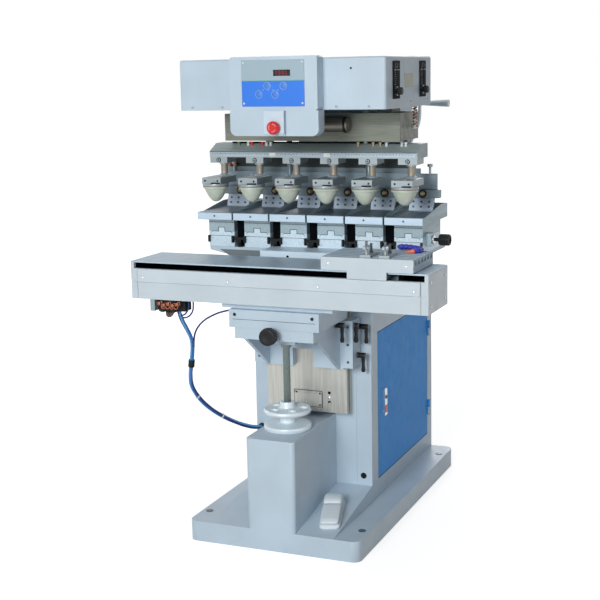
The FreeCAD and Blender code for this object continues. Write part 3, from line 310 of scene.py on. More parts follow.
def tie_on(points, share, name, span):
    """A pale band round the bundle."""
    at = int(len(points) * share)
    band = Shape().lathe([v / MM for v in points[at]],
                         ((8.0, -2.5), (8.9, -2.2), (8.9, 2.2), (8.0, 2.5), (7.6, 0)),
                         turn=turn_to((points[at + 1] - points[at]).normalized()))
    return band.done(name, span, "white", "panel_film")


def thin_tube(name, route, diameter, body):
    points = guide_points(route)
    item = Shape().tube(points, diameter / 2, 12).done(name, body, "hose_navy", "hose_blue", angle=60)
    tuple(points[0])
    length_of(points)


def make_branch():
    """One tube leaves the bundle and rises to the cross slide's side."""
    thin_tube("branch_air_line", BRANCH_ROUTE, BRANCH_DIAMETER, UPPER_SPAN)
    x, y, z = (v / MM for v in BRANCH_ROUTE[-1])
    gland = ((0, 0), (6.5, 0), (6.5, 4), (4.6, 5), (4.6, 10), (3.2, 11), (0, 11))
    fitting = Shape().lathe((x + 1, y, z), gland, "-x", 16)
    fitting.done("branch_fitting", "table", "black", "black_plastic")


# ---------------------------------------------------------------- materials

def rgb(red, green, blue):
    """A display colour, 0 to 255, as the linear values that Blender wants."""
    return tuple((c / 255) ** 2.2 for c in (red, green, blue)) + (1.0,)


def shade(colour, factor):
    return tuple(min(1.0, c * factor) for c in colour[:3]) + (1.0,)


def fill(tree, node, inputs):
    """Gives each named input of a node a constant, or the output that feeds it."""
    for key, value in inputs.items():
        if isinstance(value, bpy.types.NodeSocket):
            tree.links.new(value, node.inputs[key])
        else:
            node.inputs[key].default_value = value


def add(tree, kind, output, inputs=None, **settings):
    """A new shader node, of which one output is given back."""
    node = tree.nodes.new("ShaderNode" + kind)
    for key, value in settings.items():
        setattr(node, key, value)
    fill(tree, node, inputs or {})
    return node.outputs[output]


def shader(name, colour, rough, purity=0.0):
    mat = bpy.data.materials.new(name)
    mat.use_nodes = True
    surface = mat.node_tree.nodes["Principled BSDF"]
    fill(mat.node_tree, surface, {"Base Color": colour, "Roughness": rough, "Metallic": purity})
    return mat, mat.node_tree, surface


def noise(tree, scale, detail=3.0, stretch=(1, 1, 1)):
    """Noise in the object's own coordinates, stretched along an axis for a grain."""
    place = add(tree, "Mapping", "Vector", {"Vector": add(tree, "TexCoord", "Object"), "Scale": stretch})
    return add(tree, "TexNoise", "Fac", {"Vector": place, "Scale": scale, "Detail": detail})


def spread(tree, value, low, high):
    """Noise, which lies mostly between 0.3 and 0.7, spread over a range."""
    return add(tree, "MapRange", "Result", {"Value": value, "From Min": 0.3, "From Max": 0.7, "To Min": low,
                                            "To Max": high})


def blend_colours(tree, value, low, high):
    return add(tree, "Mix", "Result", {"A": low, "B": high, "Factor": value}, data_type="RGBA")


def mottled(tree, value, colour, change):
    """A colour that varies with noise, darker and lighter by the same share."""
    cloud = spread(tree, value, 0.0, 1.0)
    return blend_colours(tree, cloud, shade(colour, 1 - change), shade(colour, 1 + change))


def bump(tree, value, strength, distance):
    return add(tree, "Bump", "Normal", {"Strength": strength, "Distance": distance, "Height": value})


def height_test(tree, operation, *limits):
    """1 where the object's own height passes a test, and 0 elsewhere."""
    height = add(tree, "SeparateXYZ", "Z", {"Vector": add(tree, "TexCoord", "Object")})
    return add(tree, "Math", "Value", dict(enumerate((height, *limits))), operation=operation)


def paint(name, colour, rough=0.42, mottle=0.06, coat=0.05):
    """Sprayed paint: faint cloudiness, uneven gloss and orange peel."""
    mat, tree, surface = shader(name, colour, rough)
    fill(tree, surface, {
        "Base Color": mottled(tree, noise(tree, 6.0, 4.0), colour, mottle),
        "Roughness": spread(tree, noise(tree, 28.0, 5.0), rough - 0.06, rough + 0.08),
        "Coat Weight": coat,
        "Coat Roughness": 0.25,
        "Normal": bump(tree, noise(tree, 420.0, 2.0), 0.15, 0.0004)})
    return mat


def metal(name, colour, rough, purity, contrast=0.12, stretch=(1, 1, 1), grain=260.0):
    """Machined metal with its tool marks along one axis; a lower purity is a duller, milled face."""
    mat, tree, surface = shader(name, colour, rough, purity)
    lines = noise(tree, grain, 2.0, stretch)
    fill(tree, surface, {
        "Base Color": mottled(tree, lines, colour, contrast),
        "Roughness": spread(tree, noise(tree, grain * 0.2, 4.0, stretch), rough - 0.08, rough + 0.12),
        "Normal": bump(tree, lines, 0.12, 0.0003)})
    return mat


def plastic(name, colour, rough, texture=0.25, gloss=0.5, grain=900.0):
    mat, tree, surface = shader(name, colour, rough)
    fill(tree, surface, {
        "Specular IOR Level": gloss,
        "Roughness": spread(tree, noise(tree, 40.0, 4.0), rough - 0.07, rough + 0.1),
        "Normal": bump(tree, noise(tree, grain, 2.0), texture, 0.0003)})
    return mat


def silicone(name, colour):
    mat, tree, surface = shader(name, colour, 0.42)
    cloud = spread(tree, noise(tree, 22.0, 5.0), 0.0, 1.0)
    fill(tree, surface, {
        "Base Color": blend_colours(tree, cloud, rgb(192, 200, 184), rgb(214, 220, 206)),
        "Subsurface Weight": 0.35,
        "Subsurface Radius": (0.012, 0.010, 0.006),
        "Subsurface Scale": 1.0,
        "Normal": bump(tree, noise(tree, 160.0, 3.0), 0.2, 0.0006)})
    return mat


LABEL_SPLIT = 1.531
NECK_LOW, NECK_HIGH = 1.2005, 1.2465


def label_film(name, colour):
    """The key panel's film: grey above and blue below, split at a height."""
    mat, tree, surface = shader(name, colour, 0.3)
    above = height_test(tree, "GREATER_THAN", LABEL_SPLIT)
    fill(tree, surface, {
        "Base Color": blend_colours(tree, above, rgb(46, 124, 236), colour),
        "Coat Weight": 0.1,
        "Normal": bump(tree, noise(tree, 700.0, 2.0), 0.08, 0.0002)})
    return mat


def hanger_metal(name, colour):
    """The pad hangers' steel: grey blocks joined by browner turned necks, told apart by their height."""
    mat, tree, surface = shader(name, colour, 0.42, 0.35)
    neck = height_test(tree, "COMPARE", (NECK_LOW + NECK_HIGH) / 2, (NECK_HIGH - NECK_LOW) / 2)
    fill(tree, surface, {
        "Base Color": blend_colours(tree, neck, colour, rgb(150, 141, 127)),
        "Roughness": spread(tree, noise(tree, 60.0, 4.0), 0.36, 0.5),
        "Normal": bump(tree, noise(tree, 260.0, 2.0), 0.12, 0.0003)})
    return mat


def glow(name, colour, strength):
    mat, tree, surface = shader(name, colour, 0.4)
    fill(tree, surface, {"Emission Color": colour, "Emission Strength": strength})
    return mat


# Each look is a recipe, its colour and the recipe's further values. A grain has the small number on the
# axis that its lines follow.
RECIPES = {
    "machine_grey": (paint, (190, 207, 221)),
    # The fascia's paint is the machine grey made lighter: painted light, for a fascia that stands in shade.
    "fascia_grey": (paint, (212, 230, 244)),
    "edge_grey": (paint, (200, 215, 226)),
    "table_grey": (paint, (202, 213, 221), 0.34),
    "cover_grey": (paint, (206, 217, 225), 0.34),
    "stop_grey": (paint, (204, 219, 232), 0.34),
    # Dark grey for a painted shadow on the fascia.
    "recess_grey": (paint, (108, 117, 122), 0.5),
    "screen_grey": (paint, (58, 66, 66), 0.6),
    "door_blue": (paint, (56, 154, 238), 0.6, 0.05, 0.0),
    "film": (label_film, (162, 184, 196)),
    "station_grey": (metal, (158, 176, 184), 0.46, 0.3, 0.12, (1, 0.06, 1)),
    # The station bases' metal is the station metal made lighter: painted light, for bases that stand in
    # shade.
    "base_metal": (metal, (206, 224, 236), 0.44, 0.25, 0.12, (1, 0.06, 1)),
    # A lighter face for the trays' fronts: a painted highlight.
    "tray_face": (metal, (184, 203, 219), 0.4, 0.4, 0.05, (0.06, 1, 1)),
    "beam_metal": (metal, (118, 122, 112), 0.46, 0.25, 0.16, (0.04, 1, 1)),
    "pad_beam_metal": (metal, (160, 173, 175), 0.5, 0.15, 0.12, (0.04, 1, 1)),
    "cylinder_metal": (metal, (112, 108, 100), 0.36, 0.6, 0.12, (0.04, 1, 1)),
    "plate_metal": (metal, (164, 182, 196), 0.55, 0.1, 0.06, (1, 0.04, 1)),
    "brushed_y": (metal, (172, 190, 204), 0.42, 0.35, 0.05, (1, 0.04, 1)),
    "way_metal": (metal, (188, 187, 180), 0.36, 0.4, 0.12, (1, 1, 0.03)),
    "doctor_metal": (metal, (112, 127, 136), 0.42, 0.4, 0.06, (0.04, 1, 1)),
    "holder_metal": (metal, (146, 160, 170), 0.4, 0.4, 0.06, (0.06, 1, 1)),
    "bright_plate": (metal, (170, 186, 204), 0.36, 0.4, 0.06, (0.06, 1, 1)),
    "scale_grey": (metal, (156, 170, 182), 0.4, 0.4, 0.12, (0.05, 1, 1)),
    "etched": (metal, (96, 110, 122), 0.3, 0.6, 0.28, (1, 0.03, 1), 60),
    "steel": (metal, (160, 170, 174), 0.42, 0.35, 0.05),
    "bright": (metal, (206, 212, 216), 0.2, 0.8, 0.03),
    "cast_alloy": (metal, (226, 238, 245), 0.36, 0.15, 0.03, (1, 1, 1), 200),
    "crank_steel": (metal, (224, 238, 245), 0.34, 0.15, 0.03),
    "thread_steel": (metal, (112, 124, 122), 0.34, 0.7, 0.05),
    "dark_steel": (metal, (84, 90, 98), 0.35, 0.8),
    "white_metal": (metal, (196, 202, 202), 0.42, 0.3),
    "brass": (metal, (164, 146, 112), 0.4, 0.4),
    "copper": (metal, (150, 92, 70), 0.42, 0.6, 0.15),
    "hanger_metal": (hanger_metal, (150, 160, 164)),
    "black": (plastic, (24, 26, 29), 0.5, 0.25, 0.25),
    "black_gloss": (plastic, (16, 17, 19), 0.28, 0.05, 0.35),
    "slot_black": (plastic, (16, 18, 22), 0.7, 0.25, 0.08),
    "void": (plastic, (16, 19, 22), 0.8, 0.25, 0.05),
    "red": (plastic, (214, 26, 30), 0.3, 0.05),
    "white": (plastic, (214, 218, 218), 0.4, 0.1),
    "blank_film": (plastic, (186, 190, 168), 0.45, 0.1),
    "orange": (plastic, (236, 120, 92), 0.4, 0.1),
    "link_blue": (plastic, (60, 66, 178), 0.35, 0.1),
    "pedal_grey": (plastic, (224, 233, 240), 0.5, 0.5, 0.5, 500),
    "key_line": (plastic, (132, 172, 232), 0.4, 0.1),
    "key_blue": (plastic, (70, 130, 226), 0.35, 0.1),
    "divider_green": (plastic, (112, 176, 130), 0.4, 0.1),
    "valve_green": (plastic, (92, 122, 92), 0.4, 0.1),
    "ink": (plastic, (30, 34, 44), 0.12, 0.05),
    "brown": (plastic, (78, 58, 52), 0.4, 0.2),
    "wood": (plastic, (132, 108, 90), 0.6, 0.4),
    "hose_navy": (plastic, (28, 52, 108), 0.3, 0.08),
    "hose_mid": (plastic, (46, 108, 184), 0.3, 0.08),
    "hose_pale": (plastic, (88, 150, 206), 0.3, 0.08),
    "silicone": (silicone, (206, 213, 196)),
    "digits": (glow, (170, 34, 30), 0.25),
}
MADE = {}


def look(name):
    """Each material is made once, when it is first asked for."""
    if name not in MADE:
        recipe, colour, *values = RECIPES[name]
        MADE[name] = recipe(name, rgb(*colour), *values)
    return MADE[name]


LEVERS = ("saddle", "upper_gib", "middle_gib", "lower_gib")
NODE_LOOKS = {
    "machine_grey": ("base_plinth", "pedestal", "cabinet_shell", "column", "deck_bracket", "knee_bracket",
                     "knee_gibs", "cross_slide", "head_housing", "control_box", "lower_panel"),
    "fascia_grey": ("deck_fascia",),
    "table_grey": ("table_channel", "shuttle_apron"),
    "door_blue": ("side_door",),
    "film": ("control_panel",),
    "station_grey": (*("station_%d" % number for number in range(1, 7)), "knob_bracket"),
    "base_metal": ("station_bases",),
    "beam_metal": ("carriage_beam",),
    "pad_beam_metal": ("pad_beam",),
    "cylinder_metal": ("thrust_cylinder",),
    "brushed_y": ("table_cover", "shuttle_carriage", "shuttle_rail"),
    "plate_metal": ("shuttle_plate",),
    "way_metal": ("way_slab",),
    "thread_steel": ("lift_screw",),
    "steel": ("fixture_clamps",),
    "hanger_metal": ("pad_hangers",),
    "holder_metal": ("blade_holders",),
    "doctor_metal": ("doctor_beam",),
    "bright": ("guide_shafts", "door_latch"),
    "cast_alloy": ("handwheel",),
    "crank_steel": ("stroke_crank",),
    "slot_black": ("stroke_slots",),
    "black": ("station_knob", "front_stroke_knob", "rear_stroke_knob", "valve_block",
              *(lever + "_lever" for lever in LEVERS), "hose_sleeve", "control_backplate"),
    "black_gloss": ("cross_knob",),
    "red": ("emergency_stop",),
    "pedal_grey": ("pedal_base", "pedal_treadle"),
    "silicone": ("print_pads",),
    "link_blue": ("air_nozzle",),
    "hose_mid": ("upper_hose", "lower_hose"),
}
WELD_REACH = 0.00001
WORN_EDGE = 0.0012


def dress_nodes():
    """Every solid gets its material, and its sharp corners get a small worn radius."""
    for name, members in NODE_LOOKS.items():
        for member in members:
            node = NODES[member]
            for holder in node.material_slots:
                holder.material = look(name)
            node.modifiers.new("weld", "WELD").merge_threshold = WELD_REACH
            bevel = node.modifiers.new("edges", "BEVEL")
            bevel.width = WORN_EDGE
            bevel.segments = 2
            bevel.limit_method = "ANGLE"
            bevel.angle_limit = math.radians(40)
            bevel.harden_normals = True


# ---------------------------------------------------------------- stage

SKY_LEVEL = 0.14
SKY_COLOUR = (0.94, 0.98, 1.0, 1.0)
FLOOR_LEVEL, FLOOR_LIFT, FLOOR_REACH = 0.6, 0.7, 14.0
FADE_START, FADE_END = 1.3, 3.4
# Each lamp's place, the point that it is aimed at, its size, its watts and its colour.
LAMPS = {
    "key": ((0.0, -6.2, 2.6), (0, 0, 0.9), 2.2, 236, (0.98, 1.0, 1.0)),
    "fill": ((4.0, -2.2, 0.9), (0, 0, 0.4), 2.4, 10, (1.0, 0.99, 0.97)),
    "top": ((0.0, 0.4, 4.6), (0, 0, 0.5), 3.0, 18, (1, 1, 1)),
    "left": ((-4.8, 1.2, 2.2), (0, 0, 0.8), 2.6, 34, (1, 1, 1)),
    "back": ((-1.2, 5.6, 3.0), (0, 0, 0.8), 2.6, 60, (1, 1, 1)),
}


def seen_rays(tree):
    """1 for the camera's rays and for those that gloss and glass send on."""
    rays = tree.nodes.new("ShaderNodeLightPath")
    total = rays.outputs["Is Camera Ray"]
    for kind in ("Is Glossy Ray", "Is Transmission Ray"):
        total = add(tree, "Math", "Value", {0: total, 1: rays.outputs[kind]}, operation="MAXIMUM")
    return total


def floor_material():
    """A pale floor that keeps the shadow near the machine and fades to plain white further off."""
    mat, tree, surface = shader("pale_floor", (FLOOR_LEVEL,) * 3 + (1,), 0.8)
    reach = add(tree, "VectorMath", "Value", {0: add(tree, "NewGeometry", "Position")}, operation="LENGTH")
    limits = {"From Min": FADE_START, "From Max": FADE_END, "To Min": FLOOR_LIFT, "To Max": 1.0}
    fade = add(tree, "MapRange", "Result", {"Value": reach, **limits}, interpolation_type="SMOOTHSTEP")
    fill(tree, surface, {
        "Emission Color": (1, 1, 1, 1),
        "Emission Strength": add(tree, "Math", "Value", {0: seen_rays(tree), 1: fade}, operation="MULTIPLY")})
    return mat


def make_stage():
    scene = bpy.context.scene
    scene.view_settings.view_transform = "Standard"
    world = bpy.data.worlds.new("studio")
    world.use_nodes = True
    tree = world.node_tree
    sky = tree.nodes["Background"]
    fill(tree, sky, {"Color": SKY_COLOUR, "Strength": SKY_LEVEL})
    white = add(tree, "Background", "Background", {"Color": (1, 1, 1, 1), "Strength": 1.0})
    mix = add(tree, "MixShader", "Shader", {"Fac": seen_rays(tree), 1: sky.outputs["Background"], 2: white})
    fill(tree, tree.nodes["World Output"], {"Surface": mix})
    scene.world = world

    mesh = bpy.data.meshes.new("floor")
    corners = ((-1, -1), (1, -1), (1, 1), (-1, 1))
    mesh.from_pydata([(x * FLOOR_REACH, y * FLOOR_REACH, 0) for x, y in corners], [], [(0, 1, 2, 3)])
    floor = link(bpy.data.objects.new("floor", mesh))
    floor.data.materials.append(floor_material())

    for name, (place, aim, size, power, colour) in LAMPS.items():
        data = bpy.data.lights.new(name, "AREA")
        data.shape = "DISK"
        data.size = size
        data.energy = power
        data.color = colour
        lamp = link(bpy.data.objects.new(name, data))
        lamp.location = place
        lamp.rotation_euler = (Vector(aim) - Vector(place)).to_track_quat("-Z", "Y").to_euler()


# ---------------------------------------------------------------- head and control box

# The bars of a digit nought, each from one end (x, z) to the other.
NOUGHT = ((0, 5, 4, 5), (0, -5, 4, -5), (0, 0, 0, 5), (4, 0, 4, 5), (0, -5, 0, 0), (4, -5, 4, 0))
KEY_PLACES = ((-19, 65), (37, 64), (-48, 38), (8, 37))
COVER_SCREW = (4.2, 2.4)
DIAL_RADIUS, DIAL_DROP = 9, 14
SCALE_MARKS, SCALE_STEP, LONG_MARK, SHORT_MARK = 15, 6, 9, 5


def dress_control_box():
    low, high = edges_of("control_panel")
    face = low[1]
    rivets = Shape()
    for x, z in product((low[0] + 7, high[0] - 7), (low[2] + 10, high[2] - 8)):
        rivets.dome((x, face, z), radius=3.6, height=1.8)
    rivets.done("panel_rivets", FIXED, "white_metal", "bright_steel")

    split = LABEL_SPLIT / MM
    line = Shape().block((low[0] + 1, face - 0.35, split - 0.9), (high[0] - 1, face + 0.2, split + 0.9))
    line.done("panel_divider", FIXED, "divider_green", "panel_film")
    keys, caps = Shape(), Shape()
    for x, z in KEY_PLACES:
        place = (x, face, low[2] + z)
        keys.lathe(place, ((10.4, 0), (10.4, 0.7), (12.4, 0.7), (12.4, 0)), "-y", 28)
        caps.lathe(place, ((0, 0.9), (6.5, 0.8), (9.2, 0.3), (9.4, 0)), "-y", 24)
    for i in range(5):
        keys.dome((-50 + 17 * i, face, low[2] + 51.5), radius=2.2, height=0.8)
    keys.done("key_rings", FIXED, "key_line", "panel_film")
    caps.done("key_domes", FIXED, "key_blue", "panel_film")

    window = Shape().block((3, face - 1.0, low[2] + 95), (61, face + 0.2, low[2] + 114))
    window.done("display_window", FIXED, "black_gloss", "black_plastic", soften=0.5)
    digits = Shape()
    middle = low[2] + 104.5
    for left, (x0, z0, x1, z1) in product(range(12, 56, 11), NOUGHT):
        digits.block((left + x0 - 0.6, face - 1.3, middle + z0 - 0.6),
                     (left + x1 + 0.6, face - 0.9, middle + z1 + 0.6))
    digits.done("display_digits", FIXED, "digits", "red_plastic")

    low, high = edges_of("lower_panel")
    plate = Shape().block((-29, low[1] - 1.6, low[2] + 8), (41, low[1] + 0.4, high[2] - 0.5))
    plate.done("stop_plate", FIXED, "stop_grey", "body_paint", soften=0.8)

    # Turn-to-release arcs on the stop button.
    low, high = edges_of("emergency_stop")
    arcs = Shape()
    for start in (20, 140, 260):
        arcs.tube([Vector((middle_of(low, high, 0) + x, low[1] - 0.1, middle_of(low, high, 2) + z)) * MM
                   for x, z in circle(9, 12, math.radians(start), math.radians(9))], 0.7 * MM, 6)
    arcs.done("stop_arcs", "stop_button", "white", "red_plastic")


def dress_head():
    low, high = edges_of("head_housing")
    level = low[2] + 19
    screws = Shape()
    for x in (low[0] + 45, -204, 194, high[0] - 56):
        screws.dome((x, low[1], low[2] + 10), "-y", *COVER_SCREW)
    for y in (low[1] + 57, low[1] + 246, low[1] + 434):
        screws.dome((high[0], y, level), "x", *COVER_SCREW)
        screws.dome((low[0], y, level), "-x", *COVER_SCREW)
    for x in (-300, -100, 100, 300):
        screws.dome((x, high[1], level), "y", *COVER_SCREW)
    screws.done("cover_screws", FIXED, "steel", "bright_steel")
    hole = Shape().lathe((244, low[1], high[2] - 35), ((0, 0.3), (2.6, 0.3), (3.4, 0.1), (3.4, 0)), "-y", 14)
    hole.done("cover_hole", FIXED, "void", "black_plastic")
    label = Shape().block((high[0], -216, high[2] - 100), (high[0] + 0.6, -130, high[2] - 54))
    label.done("blank_side_label", FIXED, "blank_film", "panel_film")
    dress_strokes(high[0])

    # Cylinders that can be seen from below, inside the head's cover, on their two clamps.
    barrel = ((0, 0), (22, 0), (24, 2), (24, 40), (20, 44), (20, 290), (24, 294), (24, 330), (0, 330))
    bores = Shape()
    for x in (-120, 0, 120):
        bores.lathe((x, low[1] + 40, high[2] - 70), barrel, "y", 24)
        for first, last in ((44, 80), (335, 365)):
            bores.block((x - 24, low[1] + first, high[2] - 50), (x + 24, low[1] + last, high[2] - 4))
    bores.done("head_cylinders", FIXED, "steel", "ground_steel", soften=0.8)


def dress_strokes(side_face):
    """Each stroke knob slides in a slot, with a scale and a dial beside it, and has a pointer and a grip."""
    dials, marks = Shape(), Shape()
    top = edges_of("stroke_slots")[1][2]
    for end in ("front", "rear"):
        body = end + "_stop_knob"
        low, high = edges_of(end + "_stroke_knob")
        y, z = middle_of(low, high, 1), middle_of(low, high, 2)
        # Each mark stops short of the slot, so that the knob's stem passes between them.
        for side in (-1, 1):
            dials.tube([Vector((side_face + 3.2, y + side * across, top - DIAL_DROP + up)) * MM
                        for across, up in circle(13, DIAL_RADIUS, math.radians(-60), math.radians(10))],
                       0.6 * MM, 6)
            near, far = sorted((y + side * 4, y + side * 26))
            marks.block((side_face + 3, near, top - 29), (side_face + 3.4, far, top - 27.5))
        for i in range(SCALE_MARKS):
            reach = LONG_MARK if i % 5 == 0 else SHORT_MARK
            level = z - 10 + i * SCALE_STEP
            marks.block((side_face + 3, y - 8 - reach, level), (side_face + 3.3, y - 8, level + 0.8))
        pointer = Shape().block((side_face + 4.1, y - 6.5, z - 14), (side_face + 5.4, y + 6.5, z + 14))
        pointer.done(end + "_stroke_pointer", body, "white", "panel_film", soften=0.5)
        grip = knurled((high[0] - 15, y, z), "x", 14, 10.9, ((0, 0), (1.3, 0), (1.3, 14), (0.6, 15), (0, 15)))
        grip.lathe((high[0], y, z), ((0, 1.2), (6, 1), (8.5, 0)), "x", 20)
        grip.done(end + "_stroke_grip", body, "black", "black_plastic")
    dials.done("stroke_dials", FIXED, "steel", "ground_steel")
    marks.done("stroke_scales", FIXED, "white", "panel_film")


def knurled(place, axis, count, radius, ridge):
    """A knob's ridges, round an axis along X or Y."""
    x, y, z = place
    ridges = Shape()
    for c, s in circle(count, radius):
        ridges.lathe((x, y + c, z + s) if axis == "x" else (x + c, y, z + s), ridge, axis, 6)
    return ridges


# ---------------------------------------------------------------- carriage, pads and doctor beam

AIR_FITTINGS = {
    "brass": (160, 214, 239),
    "red": (-236, -196),
    "valve_green": (-286,),
    "white": (-250, -180, -164, 261, 315, 329),
}
FITTING = ((0, 0), (6, 0), (6, 9), (4.5, 10), (4.5, 15), (5.5, 16), (5.5, 22), (0, 22))
BARB = ((0, 0), (6, 0), (6, 8), (4.5, 9), (4.5, 15), (6, 16), (6, 20), (0, 20))
KNOB_PLACES = (-341, -203, -66, 76, 213, 350)
CLAMP_HEIGHT, NECK_HEIGHT, HOLDER_HEIGHT = 20, 47, 22
LEVER_SKEW = 0.3
PAD_RADIUS, PAD_STEPS, LIP_HEIGHT = 39.4, 18, 11
BOARD_RADIUS = 44.9


def dress_carriage():
    low, high = edges_of("thrust_cylinder")
    axis = (low[1] + 24, middle_of(low, high, 2))
    rings, caps, screws = Shape(), Shape(), Shape()
    for x in (low[0] + 4, high[0] - 14):
        rings.lathe((x, *axis), ((24, 0), (26.5, 1), (26.5, 7), (24, 8)), "x", 32)
    rings.done("cylinder_rings", "carriage", "black", "black_plastic")
    for x, way in ((high[0], "x"), (low[0], "-x")):
        caps.lathe((x, *axis), ((0, 3), (8, 3), (9, 2), (16, 1.5), (19, 0)), way, 28)
    caps.done("cylinder_caps", "carriage", "cylinder_metal", "ground_steel")
    low, high = edges_of("carriage_beam")
    for y, (x, way) in product((-110, -20, 20), ((high[0], "x"), (low[0], "-x"))):
        screws.screw((x, y, low[2] + 46), way, 5.0, 3.0)
    screws.done("beam_screws", "carriage", "steel", "bright_steel")


def dress_pad_beam():
    low, high = edges_of("pad_beam")
    face = low[1]
    strip = Shape().block((low[0] + 6, face - 1.2, low[2] + 3.5), (high[0] - 6, face + 0.2, low[2] + 16.5))
    strip.done("beam_scale", "pad_row", "scale_grey", "ground_steel")
    ticks, tabs = Shape(), Shape()
    for i in range(int((high[0] - low[0] - 24) / 5) + 1):
        x = low[0] + 12 + i * 5
        reach = 7.5 if i % 2 == 0 else 4.5
        ticks.block((x - 0.5, face - 1.4, low[2] + 16 - reach), (x + 0.5, face - 1.1, low[2] + 16))
    ticks.done("beam_scale_marks", "pad_row", "black", "black_plastic")
    for x in (-140, 62):
        tabs.block((x - 12, face - 2.4, low[2] + 3), (x + 12, face, low[2] + 17))
    tabs.done("beam_scale_tabs", "pad_row", "white_metal", "ground_steel", soften=0.5)
    groove = Shape().block((low[0] + 1, face - 0.25, low[2] + 18.3), (high[0] - 1, face + 0.2, low[2] + 20.2))
    groove.done("beam_groove", "pad_row", "void", "black_plastic")

    top = low[2] + 46
    for mat, places in AIR_FITTINGS.items():
        fittings = Shape()
        for x in places:
            fittings.lathe((x, face + 41, top - 16), FITTING, "z", 14)
        fittings.done("air_fittings_" + mat, "pad_row", mat, "brass")
    gap = Shape().block((low[0] + 62, face + 57, top), (high[0] - 62, face + 63, top + 5))
    gap.done("gap_shade", "pad_row", "void", "black_plastic")


def dress_hangers():
    """Each hanger's clamp screw and rings, its turned collars, and the pad's plate with its release lever."""
    face = edges_of("pad_beam")[0][1]
    top = edges_of("pad_hangers")[1][2]
    neck_y = face + 43
    disc_y = neck_y - 72
    disc_top = top - CLAMP_HEIGHT - NECK_HEIGHT - HOLDER_HEIGHT
    sockets, collars, plates, levers = Shape(), Shape(), Shape(), Shape()
    for x in STATIONS:
        sockets.lathe((x, face - 3, top - 10), ((0, 0.2), (2.6, 0.2), (3.0, 0.35), (3.0, 0)), "-y", 6)
        sockets.lathe((x, face + 0.2, top - 10), ((5.6, 0), (8.2, 0), (8.2, 1.6), (5.6, 1.6)), "-y", 24)
        collars.lathe((x, neck_y, top - 27), ((12, 0), (17, 0), (17, 6), (12, 7)), "z", 28)
        collars.lathe((x, neck_y, top - 67), ((21, 0), (18, 4), (13, 7), (12, 7)), "z", 28)
        plates.lathe((x, disc_y, disc_top - 0.2), ((0, 1.4), (30, 1.4), (34, 0.6), (36, 0)), "z", 36)
        levers.block((x + 2, disc_y - 43, disc_top), (x + 34, disc_y - 36, disc_top + 5),
                     Matrix.Rotation(LEVER_SKEW, 4, "Z"))
        for side in (-24, 24):
            sockets.screw((x + side, disc_y - 34, top - 78), "-y", 3.4, 1.6)
    sockets.done("hanger_sockets", "pad_row", "black", "black_plastic")
    collars.done("neck_collars", "pad_row", "brushed_y", "aluminium")
    plates.done("pad_plates", "pad_row", "steel", "aluminium")
    levers.done("pad_release_levers", "pad_row", "black", "black_plastic", soften=1.0)


def dress_pads():
    """The silicone pads: a lip under the metal plate, then a dome that ends in a blunt point."""
    low, high = edges_of("print_pads")
    y = middle_of(low, high, 1)
    length = high[2] - low[2]
    shoulder = length - LIP_HEIGHT
    shares = [i / PAD_STEPS for i in range(1, PAD_STEPS + 1)]
    dome = [(PAD_RADIUS * share ** 0.9, shoulder * share ** 2) for share in shares]
    lip = [(39.6, shoulder + 0.8), (42.6, shoulder + 1.6), (44.3, shoulder + 2.4), (44.7, shoulder + 4),
           (BOARD_RADIUS, length - 2), (44.3, length - 0.6), (43, length), (0, length)]
    board = ((BOARD_RADIUS, 0), (45.6, 0.3), (45.6, 2.1), (BOARD_RADIUS, 2.4))
    pads, boards = Shape(), Shape()
    for x in STATIONS:
        pads.lathe((x, y, low[2]), [(0, 0)] + dome + lip, "z", 56)
        boards.lathe((x, y, high[2] - 2.2), board, "z", 56)
    pads.done("silicone_pads", "pad_row", "silicone", "silicone", angle=60, stands_for=("print_pads",))
    boards.done("pad_base_boards", "pad_row", "wood", "silicone")


def dress_doctor():
    low, high = edges_of("doctor_beam")
    face = low[1]
    beam_back = face + 30
    beam_top = low[2] + 83
    brass, rings, ends, screws, couplings = Shape(), Shape(), Shape(), Shape(), Shape()
    for x in KNOB_PLACES:
        place = (x, face, low[2] + 15)
        rings.lathe(place, ((9, 0), (14.5, 0), (14.5, 3), (9, 3)), "-y", 26)
        brass.lathe(place, ((0, 13), (5, 13), (7, 11), (7.5, 4), (9, 3), (9, 0)), "-y", 20)
    brass.done("pressure_knobs", "doctor", "brass", "brass")
    rings.done("pressure_knob_rings", "doctor", "black", "black_plastic")
    stud = ((0, 0), (4, 0), (4, 22), (8.5, 23), (9, 25), (9, 31), (7, 33), (0, 33))
    for x in (low[0] + 36, high[0] - 36):
        ends.lathe((x, face + 16, beam_top), stud, "z", 20)
    ends.done("doctor_end_screws", "doctor", "steel", "ground_steel")
    for x, z in product((-300, -160, 0, 160, 300), (44, 70)):
        screws.screw((x, face + 12, low[2] + z), "-y", 4.5, 3)
    screws.done("doctor_plate_screws", "doctor", "steel", "bright_steel")
    back = Shape().block((low[0] + 2, beam_back - 4, beam_top - 23),
                         (high[0] - 73, beam_back - 0.5, beam_top + 16))
    back.done("doctor_back_plate", "doctor", "doctor_metal", "ground_steel", soften=0.6)
    screen = Shape().block((low[0] + 2, beam_back, beam_top - 4),
                           (high[0] - 92, beam_back + 2.4, beam_top + 51))
    screen.done("doctor_screen", "doctor", "screen_grey", "black_plastic", soften=0.6)
    for x in (low[0] + 20, low[0] + 42):
        couplings.lathe((x, beam_back - 5, low[2] + 106), BARB, "-y", 14)
    couplings.done("doctor_air_fittings", "doctor", "copper", "brass")


